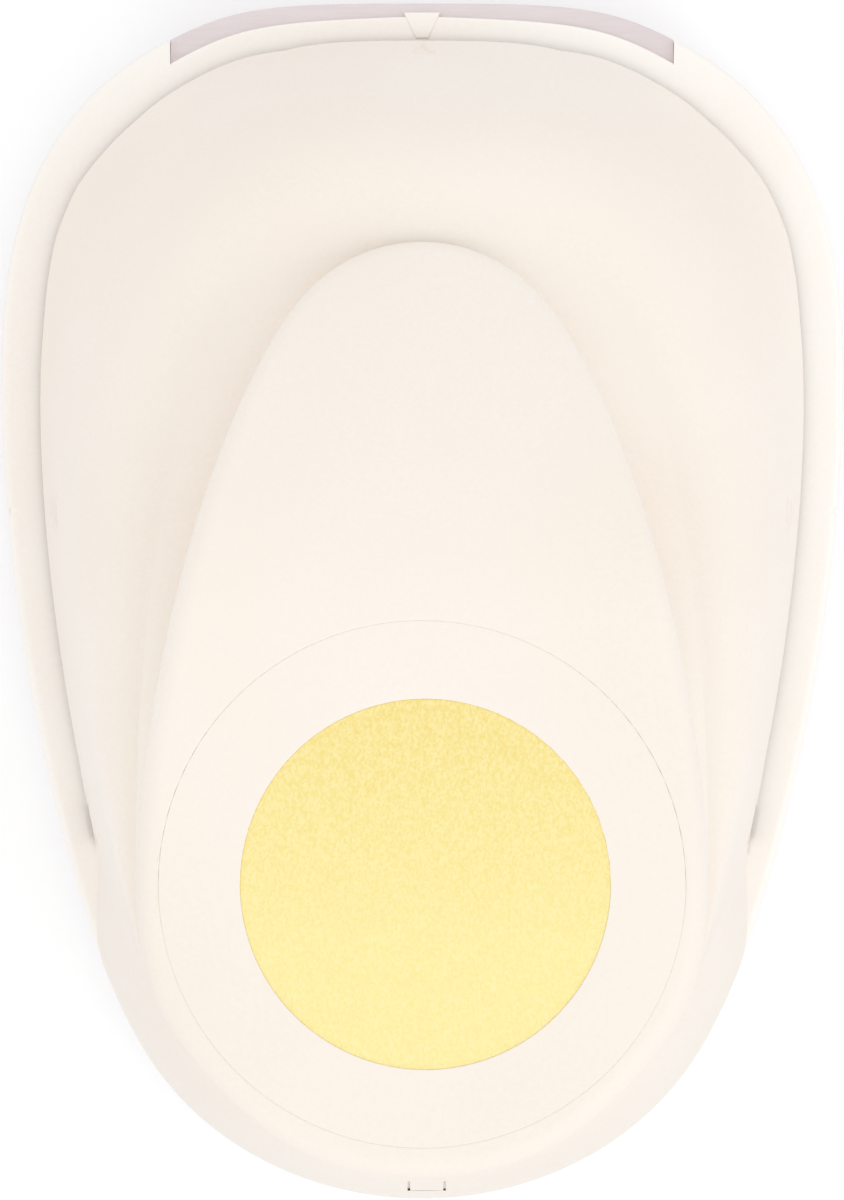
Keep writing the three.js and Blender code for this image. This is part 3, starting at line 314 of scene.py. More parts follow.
class Skin:
    """A closed body, or several in one mesh, gathered from grids of points in millimetres."""

    def __init__(self) -> None:
        """Starts with nothing in it."""
        self.points: list[Array] = []
        self.faces: list[list[list[int]]] = []
        self.count = 0

    def add(self, points: Array, quads: Array, caps: Sequence[Array] = ()) -> "Skin":
        """Adds one closed body: doubles merged, flat cells dropped, faces turned outwards.

        The volume is the sum of a . (b x c) / 6 over the triangles. Where it is negative, all
        faces are turned round.

        Args:
            points: (count, 3).
            quads: (cells, 4).
            caps: rings of point numbers that close the ends.

        Returns:
            This skin.
        """
        keys = np.round(points / 1e-4).astype(np.int64)
        _, first, number = np.unique(keys, axis=0, return_index=True, return_inverse=True)
        number = number.reshape(-1)
        corners = number[quads]
        same = corners == np.roll(corners, -1, axis=1)
        whole = corners[~same.any(axis=1) & (corners[:, 0] != corners[:, 2])
                        & (corners[:, 1] != corners[:, 3])]
        thin = corners[same.sum(axis=1) == 1]
        drop = same[same.sum(axis=1) == 1].argmax(axis=1) if len(thin) else np.zeros(0, int)
        keep = (drop[:, None] + 1 + np.arange(3)[None, :]) % 4
        thirds = np.take_along_axis(thin, keep, axis=1) if len(thin) else np.zeros((0, 3), int)
        ends = [number[cap] for cap in caps]
        place = points[first]
        triangles = [whole[:, [0, 1, 2]], whole[:, [0, 2, 3]], thirds]
        triangles += [np.stack([np.full(len(e) - 2, e[0]), e[1:-1], e[2:]], axis=1) for e in ends]
        a, b, c = (place[np.concatenate(triangles)][:, i] for i in range(3))
        turn = -1 if np.einsum("ij,ij->i", a, np.cross(b, c)).sum() < 0 else 1
        faces = [f[:, ::turn] + self.count for f in (whole, thirds)]
        self.faces.append(faces[0].tolist() + faces[1].tolist()
                          + [(e[::turn] + self.count).tolist() for e in ends])
        self.points.append(place)
        self.count += len(place)
        return self

    def add_rings(self, rings: Sequence[Array], closed: bool = True) -> "Skin":
        """Adds a body from a stack of rings that all have the same number of points.

        Args:
            rings: each (count, 3).
            closed: True joins the last ring to the first, as on a frame; False needs a first and
                last ring that are each a single place.

        Returns:
            This skin.
        """
        return self.add(np.concatenate(rings),
                        grid_faces(len(rings), len(rings[0]), closed, True))

    def add_strip(self, rings: Array) -> "Skin":
        """Adds a bar: closed sections carried along a path, with flat ends.

        Args:
            rings: (places along the path, points of the section, 3).

        Returns:
            This skin.
        """
        places, section = rings.shape[:2]
        last = (places - 1) * section
        caps = [np.arange(section)[::-1], last + np.arange(section)]
        return self.add(rings.reshape(-1, 3), grid_faces(places, section, False, True), caps)

    def add_bar(self, section: Array, x0: float, x1: float) -> "Skin":
        """Adds a section drawn in Y and Z, carried across from one X to another.

        Args:
            section: (count, 2).
            x0: the first X.
            x1: the last X.

        Returns:
            This skin.
        """
        ends = [np.column_stack([np.full(len(section), x), section]) for x in (x0, x1)]
        return self.add_strip(np.stack(ends))

    def add_box(self, low: Sequence[float], high: Sequence[float]) -> "Skin":
        """Adds a plain block between two corners."""
        (x0, y0, z0), (x1, y1, z1) = low, high
        return self.add_bar(np.array([[y0, z0], [y1, z0], [y1, z1], [y0, z1]]), x0, x1)

    def add_turned(self, profile: Sequence[Sequence[float]], x: float, y: float,
                   steps: int) -> "Skin":
        """Adds a turned body: (x + r cos a, y + r sin a, h) for each pair (r, h) of the profile.

        Args:
            profile: pairs of radius and height, from an end on the axis to the other.
            x: the axis's X.
            y: the axis's Y.
            steps: how many points round the axis.

        Returns:
            This skin.
        """
        radius, height = np.array(profile, float).T
        angle = np.arange(steps) * (2 * np.pi / steps)
        rings = np.stack(np.broadcast_arrays(
            x + radius[:, None] * np.cos(angle), y + radius[:, None] * np.sin(angle),
            height[:, None]), axis=-1)
        return self.add_rings(list(rings), closed=bool(radius[0] or radius[-1]))

    def add_post(self, place: Sequence[float], radius: float, low: float, high: float) -> "Skin":
        """Adds an upright round post at an X and Y, between two heights."""
        return self.add_turned([[0, low], [radius, low], [radius, high], [0, high]], *place, 24)

    def make(self, name: str) -> Piece:
        """Turns what was gathered into an object at the origin, with the given name."""
        mesh = bpy.data.meshes.new(name)
        faces = [face for group in self.faces for face in group]
        mesh.from_pydata((np.concatenate(self.points) * MM).tolist(), [], faces)
        mesh.update()
        shade(mesh)
        piece = bpy.data.objects.new(name, mesh)
        bpy.context.scene.collection.objects.link(piece)
        return piece


def shade(mesh: bpy.types.Mesh) -> None:
    """Shades a mesh smooth, apart from its sharp edges."""
    mesh.polygons.foreach_set("use_smooth", np.ones(len(mesh.polygons), bool))
    mesh.set_sharp_from_angle(angle=math.radians(SHARP_DEGREES))


def carve(piece: Piece, tool: Piece) -> None:
    """Cuts a tool's shape out of a piece and removes the tool.

    Args:
        piece: what is cut.
        tool: one closed body, or several that don't touch.
    """
    cutter = piece.modifiers.new("carve", "BOOLEAN")
    cutter.operation, cutter.solver, cutter.object = "DIFFERENCE", "EXACT", tool
    bpy.context.view_layer.update()
    graph = bpy.context.evaluated_depsgraph_get()
    cut = bpy.data.meshes.new_from_object(piece.evaluated_get(graph))
    piece.modifiers.clear()
    piece.data = cut
    bpy.data.objects.remove(tool)
    shade(cut)


def quarter(count: int) -> Array:
    """Angles from 0 to a quarter turn, for a rounded edge."""
    return np.linspace(0, np.pi / 2, count + 1)


def edge_rings(loop: Loop, z: Depth, inward: Depth, up: Depth, angles: Array) -> list[Array]:
    """Rings over a rounded edge, whose section is a quarter of an ellipse.

    At an angle a the ring is moved in by inward (1 - sin a) and up by up (1 - cos a).

    Args:
        loop: the loop that the edge reaches at a quarter turn.
        z: the height that it has at 0.
        inward: how far inside the loop it is at 0.
        up: how far above z it is at a quarter turn.
        angles: the angles in order.

    Returns:
        The rings.
    """
    return [loop.inset(inward * (1 - math.sin(angle))).ring(z + up * (1 - math.cos(angle)))
            for angle in angles]


@dataclass(frozen=True)
class Form:
    """Heights and outlines that several pieces share."""

    front_y: float = -63.8
    rear_y: float = 63.8
    body_half: float = 45
    widest_y: float = -24
    table: float = 12
    table_edge: float = 0.8
    foot_inset: float = 1
    cover_edge: float = 0.6
    cover: float = 2.4
    wall: float = 2
    slot_roof: float = 14
    slot_end_y: float = 26
    head_top: float = 36
    head_drop: float = 5
    die_y: float = -9.5
    shape_radius: float = 19.05
    nose_y: float = -37.4
    pad_y: float = 29.2
    disc_x: float = -0.35
    lever_rear_y: float = 59.5
    lever_half: float = 29.375
    lever_rise: float = 2.8
    pad: float = 56
    cap_bottom: float = 54
    brim: float = 1.5
    opening_gap: float = 0.7
    land: float = 0.6
    seat_radius: float = 27.1
    shoulder_margin: float = 3.2
    head_crown: float = 0.6
    chute_radius: float = 21.65
    lip_half: float = 26.9
    lip_depth: tuple = (1.45, 2.35)
    lip_top: float = 11.1
    lip_gap: float = 0.02
    table_widths: tuple = ((-63.8, 4.15), (-63.4, 4.85), (-62, 5.0), (-55, 5.35), (-51, 5.15),
                           (-46, 4.6), (-40, 4.35), (-30, 4.5), (-20, 4.25), (3, 3.9), (17, 3.65),
                           (26, 3.25))
    taper: float = 13
    slit: tuple = (21.8, 26)
    slit_lag: float = 0.78
    hinge_y: float = -31.4
    hinge_z: float = 29
    bosses: tuple = ((26.3, 32.0), (32.0, -38.0))
    boss_radius: float = 3

    @property
    def body(self) -> Outline:
        """The body's outline."""
        return Outline(self.front_y, self.rear_y, self.widest_y, self.body_half, BODY_FRONT,
                       BODY_REAR)

    @property
    def lever(self) -> Outline:
        """The lever's outline at its brim."""
        return Outline(self.nose_y, self.lever_rear_y, self.pad_y, self.lever_half, LEVER_FRONT,
                       LEVER_REAR)

    @property
    def shoulder(self) -> Outline:
        """Where the head's wall ends and its top begins."""
        return Outline(self.nose_y - self.shoulder_margin, self.lever_rear_y + self.land,
                       self.pad_y, self.lever_half + self.land, BODY_FRONT, LEVER_REAR)

    @property
    def screws(self) -> list[tuple[float, float]]:
        """Middles of the four case screws: the rear pair, then the front pair."""
        return [(side.value * x, y) for x, y in self.bosses for side in Side]

    def flange(self, y: Array) -> Array:
        """Width of the table that shows outside the head, by the place along the body."""
        width = np.interp(y, *np.array(self.table_widths).T)
        return width * (1 - smooth_ramp(y, self.slot_end_y, self.slot_end_y + self.taper))

    def seam(self, loop: Loop, depth: float = 0) -> Loop:
        """The head's foot on the table, from the body's outline, moved in by a depth."""
        return loop.inset(self.flange(loop.y)).inset(depth)

    def lip_at(self, loop: Loop) -> Array:
        """How far in the cover's lip reaches at places on the outline: 0 beside it."""
        share = np.abs(loop.x) / self.lip_half
        depth = self.lip_depth[0] + (self.lip_depth[1] - self.lip_depth[0]) * share
        return np.where((share <= 1) & (loop.y < self.widest_y), depth, 0)

    def slit_at(self, y: Array) -> Array:
        """1 beside the thin slits at the paper slot's ends, 0 elsewhere."""
        return ((y >= self.slit[0]) & (y <= self.slit[1])).astype(float)

    def slit_turns(self) -> list[Array]:
        """Turns for the slits: a close pair at each end and more between.

        A place moved in from the outline lies a lag in front of where it was.
        """
        ends = [self.body.turn_at_y(y + self.slit_lag) for y in self.slit]
        return [*(self.body.near(end, 0.03, 2) for end in ends), np.linspace(*ends, 14)[1:-1]]

    def head_top_at(self, y: Array) -> Array:
        """Height of the head's top: level in front, falling as a parabola behind the die."""
        return self.head_top - self.head_drop * ramp(y, self.die_y, self.lever_rear_y)**2

    def lever_top_at(self, y: Array) -> Array:
        """Height of the lever's back: the section curve read at a share of the way to the pad."""
        share = np.linspace(0, 1, 2001)
        curve, _ = cubic(np.broadcast_to(np.array(LEVER_BACK, float), (2001, 4, 2)), share)
        end = self.pad_y - self.seat_radius
        low = self.head_top + self.lever_rise
        return low + (self.pad - low) * np.interp(ramp(y, self.nose_y, end), curve[:, 0],
                                                  curve[:, 1])

    def wall_inset(self, z: float) -> float:
        """How far the lower wall lies inside the outline at a height: it leans in to the desk."""
        if z < self.cover_edge:
            return self.foot_inset + self.cover_edge - z
        full = self.table - self.table_edge - self.cover_edge
        return self.foot_inset * max(0.0, 1 - (z - self.cover_edge) / full)


FORM = Form()


def signed_box(x: Array, y: Array, half: float, y0: float, y1: float, corner: float) -> Array:
    """Distance from a plate with round corners seen from above, below 0 inside.

    Args:
        x: the places' X.
        y: the places' Y.
        half: half the plate's width.
        y0: its front edge.
        y1: its rear edge.
        corner: radius of its corners.

    Returns:
        The distances.
    """
    dx = np.abs(x) - half + corner
    dy = np.abs(y - (y0 + y1) / 2) - (y1 - y0) / 2 + corner
    outside = np.hypot(np.maximum(dx, 0), np.maximum(dy, 0))
    return outside + np.minimum(np.maximum(dx, dy), 0) - corner


@dataclass
class Lower:
    """The lower half: the base with its paper table, the cover, the lip and the paper stop."""

    form: Form = FORM
    edge_steps: int = 6
    tick_radius: float = 0.35
    tick_foot: float = 10
    notch_lead: float = 0.5
    notch_inner: float = 0.95
    notch_depth: tuple = (0.12, 0.5)
    mark_rise: float = 0.2
    mark_front: float = -62.75
    mark_rear: float = -59.97
    mark_outer: float = 1.98
    mark_inner: float = 0.69
    mark_edges: tuple = (0.06, 0.2)
    mark_round: float = 0.05
    plate_half: float = 29.3
    plate_front: float = -37.85
    plate_wide: float = 18.85
    tail_half: float = 23.3
    tail_rear: float = 34.3
    notch_wall: float = 0.03
    lip_round: float = 0.25
    lip_edge: float = 0.3
    lip_edge_z: float = 11
    bend_reach: float = 6.5
    bend_rear: float = -49.8
    plate_corner: float = 3
    tail_front: float = -21.5
    pocket_floor: float = 10
    chute_edge: float = 0.3
    chute_wall: float = 1.6
    chute_waist: float = 6
    table_under: float = 8.4
    stop_wall: float = 4
    stop_lag: float = 0.3
    screw_profile: tuple = ((0, -1), (3.1, -1), (3.1, 1.4), (1.7, 1.4), (1.7, 3.4), (0, 3.4))

    def turns(self) -> Array:
        """Turns round the body, denser at the lip's ends, the rim's ticks and the slot's end."""
        body = self.form.body
        lip = body.turn_at_x(self.form.lip_half)
        tick = body.turn_at_y(self.form.die_y)
        fine = [body.near(lip, 0.02, 2), body.near(lip, 0.3, 8), body.near(tick, 0.42, 25),
                *self.form.slit_turns(), body.near(lip, 0.17, 2)]
        return all_turns(44, *[both_sides(turns) for turns in fine])

    def outline(self) -> Loop:
        """The body's outline, from which places about the lip's ends move in straight back.

        The mixed direction (m nx, (1 - m nx^2) / ny) keeps the depth along the true normal.

        Returns:
            The outline with these directions for normals.
        """
        loop = self.form.body.loop(self.turns())
        gap = np.abs(np.abs(loop.x) - self.form.lip_half)
        mix = smooth_ramp(gap, 0, self.bend_reach)
        bent = (mix < 1) & (loop.y < self.bend_rear)
        ny = np.where(bent, (1 - mix * loop.nx**2) / np.where(bent, loop.ny, 1), loop.ny)
        return Loop(loop.x, loop.y, np.where(bent, mix, 1) * loop.nx, ny)

    def pocket_edge(self, loop: Loop) -> Loop:
        """Where rays from the die's middle leave the plates' pocket.

        Args:
            loop: the outline that the rays pass through.

        Returns:
            The pocket's edge as a loop.
        """
        ray = loop.circle(0, self.form.die_y, 1)
        plates = ((self.plate_half, self.plate_front, self.plate_wide),
                  (self.tail_half, self.tail_front, self.tail_rear))

        def over_plates(reach: Array) -> Array:
            """Whether places along the rays lie over the wide plates or their tail."""
            x, y = reach * ray.nx, self.form.die_y + reach * ray.ny
            return np.minimum(*(signed_box(x, y, *plate, self.plate_corner)
                                for plate in plates)) < 0

        reach = halving(over_plates, np.zeros_like(ray.x), np.full_like(ray.x, 70))
        return Loop(reach * ray.nx, self.form.die_y + reach * ray.ny, ray.nx, ray.ny)

    def base(self) -> Piece:
        """The base: outer wall, rounded rim, table, pocket, chip chute and hollow underside.

        The rim's ticks push the wall in by sqrt(r^2 - s^2) at a distance s along the outline.
        The table's mark stands up where a place lies inside its trapezoid.

        Returns:
            The piece.
        """
        f = self.form
        outline = self.outline()
        lip = f.lip_at(outline)
        reach = np.abs(outline.y - f.die_y)
        tick = np.sqrt(np.maximum(self.tick_radius**2 - reach**2, 0))

        def wall(z: float, inset: float, ticked: bool = True) -> Array:
            """One ring of the outer wall."""
            depth = np.maximum(inset, lip) + (tick if ticked else 0)
            return outline.inset(depth).ring(z)

        rings = [wall(f.cover, f.wall_inset(f.cover), False)]
        for z in np.linspace(f.cover, self.tick_foot, 8)[1:]:
            rings.append(wall(z, f.wall_inset(z), False))
        rings.append(wall(self.tick_foot, f.wall_inset(self.tick_foot)))
        rings.append(wall(f.table - f.table_edge, 0))
        for angle in quarter(self.edge_steps)[1:]:
            inward, under = 1 - math.cos(angle), 1 - math.sin(angle)
            edge = np.maximum(f.table_edge * inward, lip + self.lip_round * inward * (lip > 0))
            drop = np.where(lip > 0, self.lip_round, f.table_edge) * under
            rings.append(outline.inset(edge + tick).ring(f.table - drop))
        rings += self.table_rings(outline, lip, tick)
        rings += self.under_rings(outline, lip)
        skin = Skin().add_rings(rings)
        for place in f.screws:
            skin.add_post(place, f.boss_radius, f.cover, self.pocket_floor)
        self.mark(skin)
        return skin.make("base_moulding")

    def mark(self, skin: Skin) -> None:
        """Adds the raised centre mark: a trapezoid that reaches forward over the cover's lip.

        Its sides lean by a slope, so an edge moved in by d goes d sqrt(1 + slope^2) across.

        Args:
            skin: the base's skin.
        """
        f = self.form
        slope = (self.mark_outer - self.mark_inner) / (self.mark_rear - self.mark_front)
        top = f.table + self.mark_rise
        rings = []
        for inset, z in ((0, f.lip_top + f.lip_gap), (0, f.table),
                         (self.mark_edges[0], top - self.mark_round), (self.mark_edges[1], top)):
            y = np.array([self.mark_front + inset, self.mark_rear - inset])
            half = self.mark_outer - slope * (y - self.mark_front) - inset * math.hypot(1, slope)
            rings.append(np.column_stack([[-half[0], half[0], half[1], -half[1]],
                                          [y[0], y[0], y[1], y[1]], np.full(4, z)]))
        skin.add_strip(np.stack(rings))

    def table_rings(self, outline: Loop, lip: Array, tick: Array) -> list[Array]:
        """Rings over the table's top from its rounded rim to the plates' pocket.

        Args:
            outline: the body's outline.
            lip: the lip recess's depth at each place.
            tick: the rim ticks' depth at each place.

        Returns:
            The rings.
        """
        f = self.form
        rings = []
        start = np.maximum(f.table_edge, lip + self.lip_round * (lip > 0)) + tick
        for share in np.linspace(0, 1, 12)[1:]:
            depth = start + (np.maximum(f.flange(outline.y) - self.notch_lead, start + 0.02)
                             - start) * share
            rings.append(outline.inset(depth).ring(f.table))
        inner = outline.inset(depth + self.notch_inner)
        rear = ramp(inner.y, *f.slit)
        low = f.table - f.slit_at(inner.y) * (self.notch_depth[0] * (1 - rear)
                                              + self.notch_depth[1] * rear)
        back, edge = inner.inset(self.notch_wall), self.pocket_edge(outline)
        rings.append(inner.ring(low))
        return rings + [back.toward(edge, share).ring(f.table) for share in (0, 0.3, 0.65, 1)]

    def under_rings(self, outline: Loop, lip: Array) -> list[Array]:
        """Rings from the pocket's edge down through the chute and back under the table.

        Args:
            outline: the body's outline.
            lip: the lip recess's depth at each place.

        Returns:
            The rings.
        """
        f = self.form
        edge, floor = self.pocket_edge(outline), self.pocket_floor
        hole, rim, outer = (outline.circle(0, f.die_y, f.chute_radius + extra)
                            for extra in (0, self.chute_edge, self.chute_wall))
        inner = outline.inset(np.maximum(f.foot_inset, lip) + f.wall)
        return [loop.ring(z) for loop, z in (
            (edge, floor), (rim, floor), (hole, floor - self.chute_edge), (hole, self.chute_waist),
            (hole, f.cover), (outer, f.cover), (outer, self.table_under),
            (inner, self.table_under), (inner, f.cover))]

    def cover(self) -> Piece:
        """The bottom cover: a floor with the round chip window, and the lip up the front.

        Returns:
            The piece.
        """
        f = self.form
        outline = self.outline()
        lip = (np.abs(outline.x) < f.lip_half - f.lip_gap) & (outline.y < f.widest_y)
        rings = edge_rings(outline.inset(f.foot_inset), 0, f.cover_edge, f.cover_edge,
                           quarter(self.edge_steps))

        def wall(inset: Depth, z: float) -> Array:
            """One ring, at the given inset and height where the lip is and at its foot beside."""
            depth = np.where(lip, inset, f.wall_inset(f.cover))
            return outline.inset(depth).ring(np.where(lip, z, f.cover))

        for z in np.linspace(f.cover, f.lip_top - self.lip_edge, 9):
            rings.append(wall(f.wall_inset(z), z))
        for angle in quarter(4)[1:]:
            inset = f.wall_inset(self.lip_edge_z) + self.lip_edge * (1 - math.cos(angle))
            rings.append(wall(inset, f.lip_top - self.lip_edge * (1 - math.sin(angle))))
        back = f.lip_at(outline) - f.lip_gap
        rings += [wall(back, f.lip_top), wall(back, f.cover)]
        window, edge = (outline.circle(0, f.die_y, f.chute_radius + extra)
                        for extra in (0, f.cover_edge))
        rings += [window.ring(f.cover), window.ring(f.cover_edge), edge.ring(0)]
        piece = Skin().add_rings(rings).make("cover_moulding")
        tools = Skin()
        for x, y in f.screws:
            tools.add_turned(self.screw_profile, x, y, 48)
        carve(piece, tools.make("counterbores"))
        return piece

    def paper_stop(self) -> Piece:
        """The frame that closes the slot behind the die: a flat bar bent along the outline.

        Returns:
            The piece.
        """
        f = self.form
        start = f.body.turn_at_y(f.slot_end_y + self.stop_lag)
        turns = np.linspace(start, 8 - start, 181)
        outline = f.body.loop(turns)
        seam = f.seam(outline)
        outer = [seam.ring(z) for z in (f.table, f.slot_roof)]
        inner = [seam.inset(self.stop_wall).ring(z) for z in (f.slot_roof, f.table)]
        skin = Skin().add_strip(np.stack(outer + inner, axis=1))
        for place in f.screws[:2]:
            skin.add_post(place, f.boss_radius, f.table, f.slot_roof)
        return skin.make("paper_stop_moulding")


def wall_curve(y: Array, share: Array) -> tuple[Array, Array]:
    """The head wall's section, which is steep in front and slopes evenly beside the pad.

    Both sections are cubic curves, and a place takes its own mix of the two.

    Args:
        y: the places along the body.
        share: places along the section from 0 to 1.

    Returns:
        How far inwards and how far up, each from 0 to 1, (places of y, places of share).
    """
    mix = smooth_ramp(y, FORM.die_y, FORM.pad_y)[:, None, None]
    points = np.array(HEAD_WALL, float) * (1 - mix) + np.array(REAR_WALL, float) * mix
    curve, _ = cubic(points[:, None], np.broadcast_to(share, (len(y), share.shape[-1])))
    return curve[..., 0], curve[..., 1]


def wall_start(y: Array, foot: float, top: Array, z: float) -> Array:
    """Where the section passes a height.

    Args:
        y: the places along the body.
        foot: the height where the section starts.
        top: the height where it ends, at each place.
        z: the height looked for.

    Returns:
        The place along the section for each place along the body.
    """
    def below(share: Array) -> Array:
        """Whether places along the section lie under the height."""
        return foot + (top - foot) * wall_curve(y, share[:, None])[1][:, 0] < z

    return halving(below, np.zeros(len(y)), np.ones(len(y)))


@dataclass
class Head:
    """The head shell with its centring marks, the lever's opening and the rear tongue's slot."""

    form: Form = FORM
    mark_lead: tuple = (0.3, 0.7)
    mark_length: tuple = (1.2, 1.45)
    mark_half: tuple = (1.55, 1.35)
    mark_depth: tuple = (0.35, 0.4)
    mark_line: float = 0.36
    mark_behind: float = 0.45
    mark_soft: float = 0.12
    front_half: float = 4
    mark_levels: tuple = (0.008, 0.016, 0.27)
    foot_edge: float = 0.3
    foot_drop: tuple = (0.8, 0.5)
    foot_land: float = 0.6
    drop_fade: float = 0.3
    edge_fade: float = 1
    inside_foot: float = 11
    boss_top: float = 19.5
    pillars: tuple = ((-21, -33.2), (21, -33.2))
    pillar_radius: float = 2.8
    pillar_z: tuple = (15.6, 35)
    opening_edge: float = 0.45
    slit_width: float = 0.33
    slot_x: tuple = (-2.52, 1.52)
    slot_y: tuple = (61.2, 62.42)
    slot_depth: float = 1.4
    tool_top: float = 40
    tongue_x: tuple = (-2.25, 1.25)
    tongue_y: tuple = (60.7, 61.9, 62.39)
    tongue_sunk: float = 0.05
    tongue_neck: tuple = (15, 16)
    barb_z: tuple = (7.2, 8.4)
    barb_reach: tuple = (0.8, 1.1)

    def turns(self) -> Array:
        """Turns round the body, denser at the three centring marks."""
        body = self.form.body
        side = [body.near(body.turn_at_y(self.form.die_y), 4, 81), *self.form.slit_turns()]
        return all_turns(44, *[both_sides(turns) for turns in side], body.near(0.0, 2, 41))

    def engraving(self, loop: Loop, passed: Array) -> Array:
        """How deep the centring marks go at places on the wall.

        Seen from above, the side marks are V shapes of a line's width that open inwards and the
        front one is a full triangle: a place's least distance to their edges, made soft, times
        the depth.

        Args:
            loop: places on the wall.
            passed: how far they lie inside the wall's foot.

        Returns:
            The depths.
        """
        front = (loop.y < self.form.nose_y) & (np.abs(loop.x) < self.front_half)
        lead, length, half = (np.where(front, *pair) for pair in (
            self.mark_lead, self.mark_length, self.mark_half))
        across = np.abs(np.where(front, loop.x, loop.y - self.form.die_y - self.mark_behind))
        up, slope, line = passed - lead, length / half, self.mark_line
        inner = (length - 2 * line) / (half - line)
        least = np.minimum((up - across * slope) / np.hypot(1, slope), length - up)
        vee = (2 * line + across * inner - up) / np.hypot(1, inner)
        least = np.where(front, least, np.minimum(least, vee))
        depth = np.where(front, *self.mark_depth)
        return depth * smooth_ramp(least, -self.mark_soft / 2, self.mark_soft)

    def levels(self) -> Array:
        """Places up the wall's section curve, dense where the marks are."""
        first, low, high = self.mark_levels
        return np.concatenate([[0, first], np.linspace(low, high, 60),
                               np.linspace(high, 1, 25)[1:]])

    def wall(self, outline: Loop, shoulder: Loop, depth: float, foot: float,
             levels: Array) -> list[tuple[Loop, Array]]:
        """Rings up the head's wall, from the slot's roof to the shoulder.

        Each ring goes inwards from the seam to the shoulder by the section curve's first value,
        and up by its second.

        Args:
            outline: the body's outline.
            shoulder: the shoulder's outline.
            depth: how far inside the outer wall.
            foot: the height where the curve starts.
            levels: places along the section curve from 0 to 1.

        Returns:
            Loops with their heights.
        """
        f = self.form
        top = f.head_top_at(outline.y) - depth
        start = wall_start(outline.y, foot, top, f.slot_roof)[:, None]
        level = (levels - levels[0]) / (1 - levels[0])
        across, up = wall_curve(outline.y, start + (1 - start) * level)
        low, high = f.seam(outline, depth), shoulder.inset(depth)
        loops = [low.toward(high, share) for share in across.T]
        return [(loop, foot + (f.head_top_at(loop.y) - depth - foot) * share)
                for loop, share in zip(loops, up.T)]

    def shell(self) -> Piece:
        """The head shell: wall with its marks, crowned top, the lever's opening and the inside.

        Returns:
            The piece.
        """
        f = self.form
        turns = self.turns()
        outline, shoulder, lever = (o.loop(turns) for o in (f.body, f.shoulder, f.lever))
        opening = lever.inset(f.brim - f.opening_gap)
        top = f.head_top_at(shoulder.y)

        def ahead_of(y: float, fade: float) -> Array:
            """1 in front of a Y and 0 behind it, with a short ramp between."""
            return ramp(outline.y, y + fade, y - fade)

        round_foot = ahead_of(f.slot_end_y, self.edge_fade) * self.foot_edge
        low = f.slot_roof - sum(drop * ahead_of(y, self.drop_fade) for drop, y in zip(
            self.foot_drop, (f.slot_end_y, f.slit[0] + f.slit_lag)))
        foot = f.seam(outline)
        rings = [foot.inset(self.foot_land).ring(f.slot_roof)]
        rings += edge_rings(foot, low, round_foot, round_foot, quarter(3)[1:-1])
        for loop, z in self.wall(outline, shoulder, 0, f.slot_roof, self.levels()):
            passed = (foot.x - loop.x) * foot.nx + (foot.y - loop.y) * foot.ny
            relief = f.slit_at(loop.y) * np.maximum(self.slit_width - passed, 0)
            rings.append(loop.inset(self.engraving(loop, passed) + relief).ring(
                np.maximum(z, low + round_foot)))
        rings += self.top_rings(shoulder, opening, top)
        rings += self.inside_rings(outline, shoulder, opening)
        skin = Skin().add_rings(rings)
        for screw, pillar in zip(f.screws, self.pillars):
            skin.add_post(screw, f.boss_radius, f.slot_roof, self.boss_top)
            skin.add_post(pillar, self.pillar_radius, *self.pillar_z)
        piece = skin.make("head_moulding")
        carve(piece, self.tongue_slot())
        return piece

    def rear_line(self, y0: float, y1: float, sunk: float) -> Array:
        """The rear wall's section on the middle, between two Y and sunk by a depth, (9, 2)."""
        f = self.form
        y = np.linspace(y0, y1, 9)
        share = (f.rear_y - y) / (f.rear_y - f.lever_rear_y - f.land)
        inward, up = (c[0] for c in wall_curve(np.array([f.rear_y]), np.linspace(0, 1, 801)))
        high = f.head_top_at(np.array([f.lever_rear_y]))[0] - f.slot_roof
        return np.column_stack([y, f.slot_roof + high * np.interp(share, inward, up) - sunk])

    def tongue_slot(self) -> Piece:
        """The tool that sinks a shallow slot round the snap tongue, along the wall's slope."""
        start, end = self.slot_y
        section = np.vstack([self.rear_line(start, end, self.slot_depth),
                             [[end, self.tool_top], [start, self.tool_top]]])
        return Skin().add_bar(section, *self.slot_x).make("tongue_slot")

    def tongue(self) -> Piece:
        """The snap tongue: a blade with a barb under the table, flush with the rear wall."""
        (front, rear, tip), (foot, barb) = self.tongue_y, self.barb_z
        (below, above), (low, high) = self.barb_reach, self.tongue_neck
        section = np.vstack([[[front, barb], [front - above, barb], [front - below, foot],
                              [rear, foot], [rear, low], [tip, high]],
                             self.rear_line(front, tip, self.tongue_sunk)[::-1]])
        return Skin().add_bar(section, *self.tongue_x).make("tongue_moulding")

    def top_rings(self, shoulder: Loop, opening: Loop, top: Array) -> list[Array]:
        """Rings from the shoulder over the crown to the rounded edge of the opening.

        The crown rises as the sine of the way to the opening.

        Args:
            shoulder: where the top begins.
            opening: the opening's edge.
            top: the head's height at each place.

        Returns:
            The rings.
        """
        edge = opening.inset(-self.opening_edge)
        crown = self.form.head_crown
        rings = []
        for share in np.linspace(0, 1, 14)[1:]:
            loop = shoulder.toward(edge, share)
            rings.append(loop.ring(top + crown * math.sin(share * np.pi / 2)))
        return rings + edge_rings(opening, top + crown, -self.opening_edge, -self.opening_edge,
                                  quarter(5)[1:])

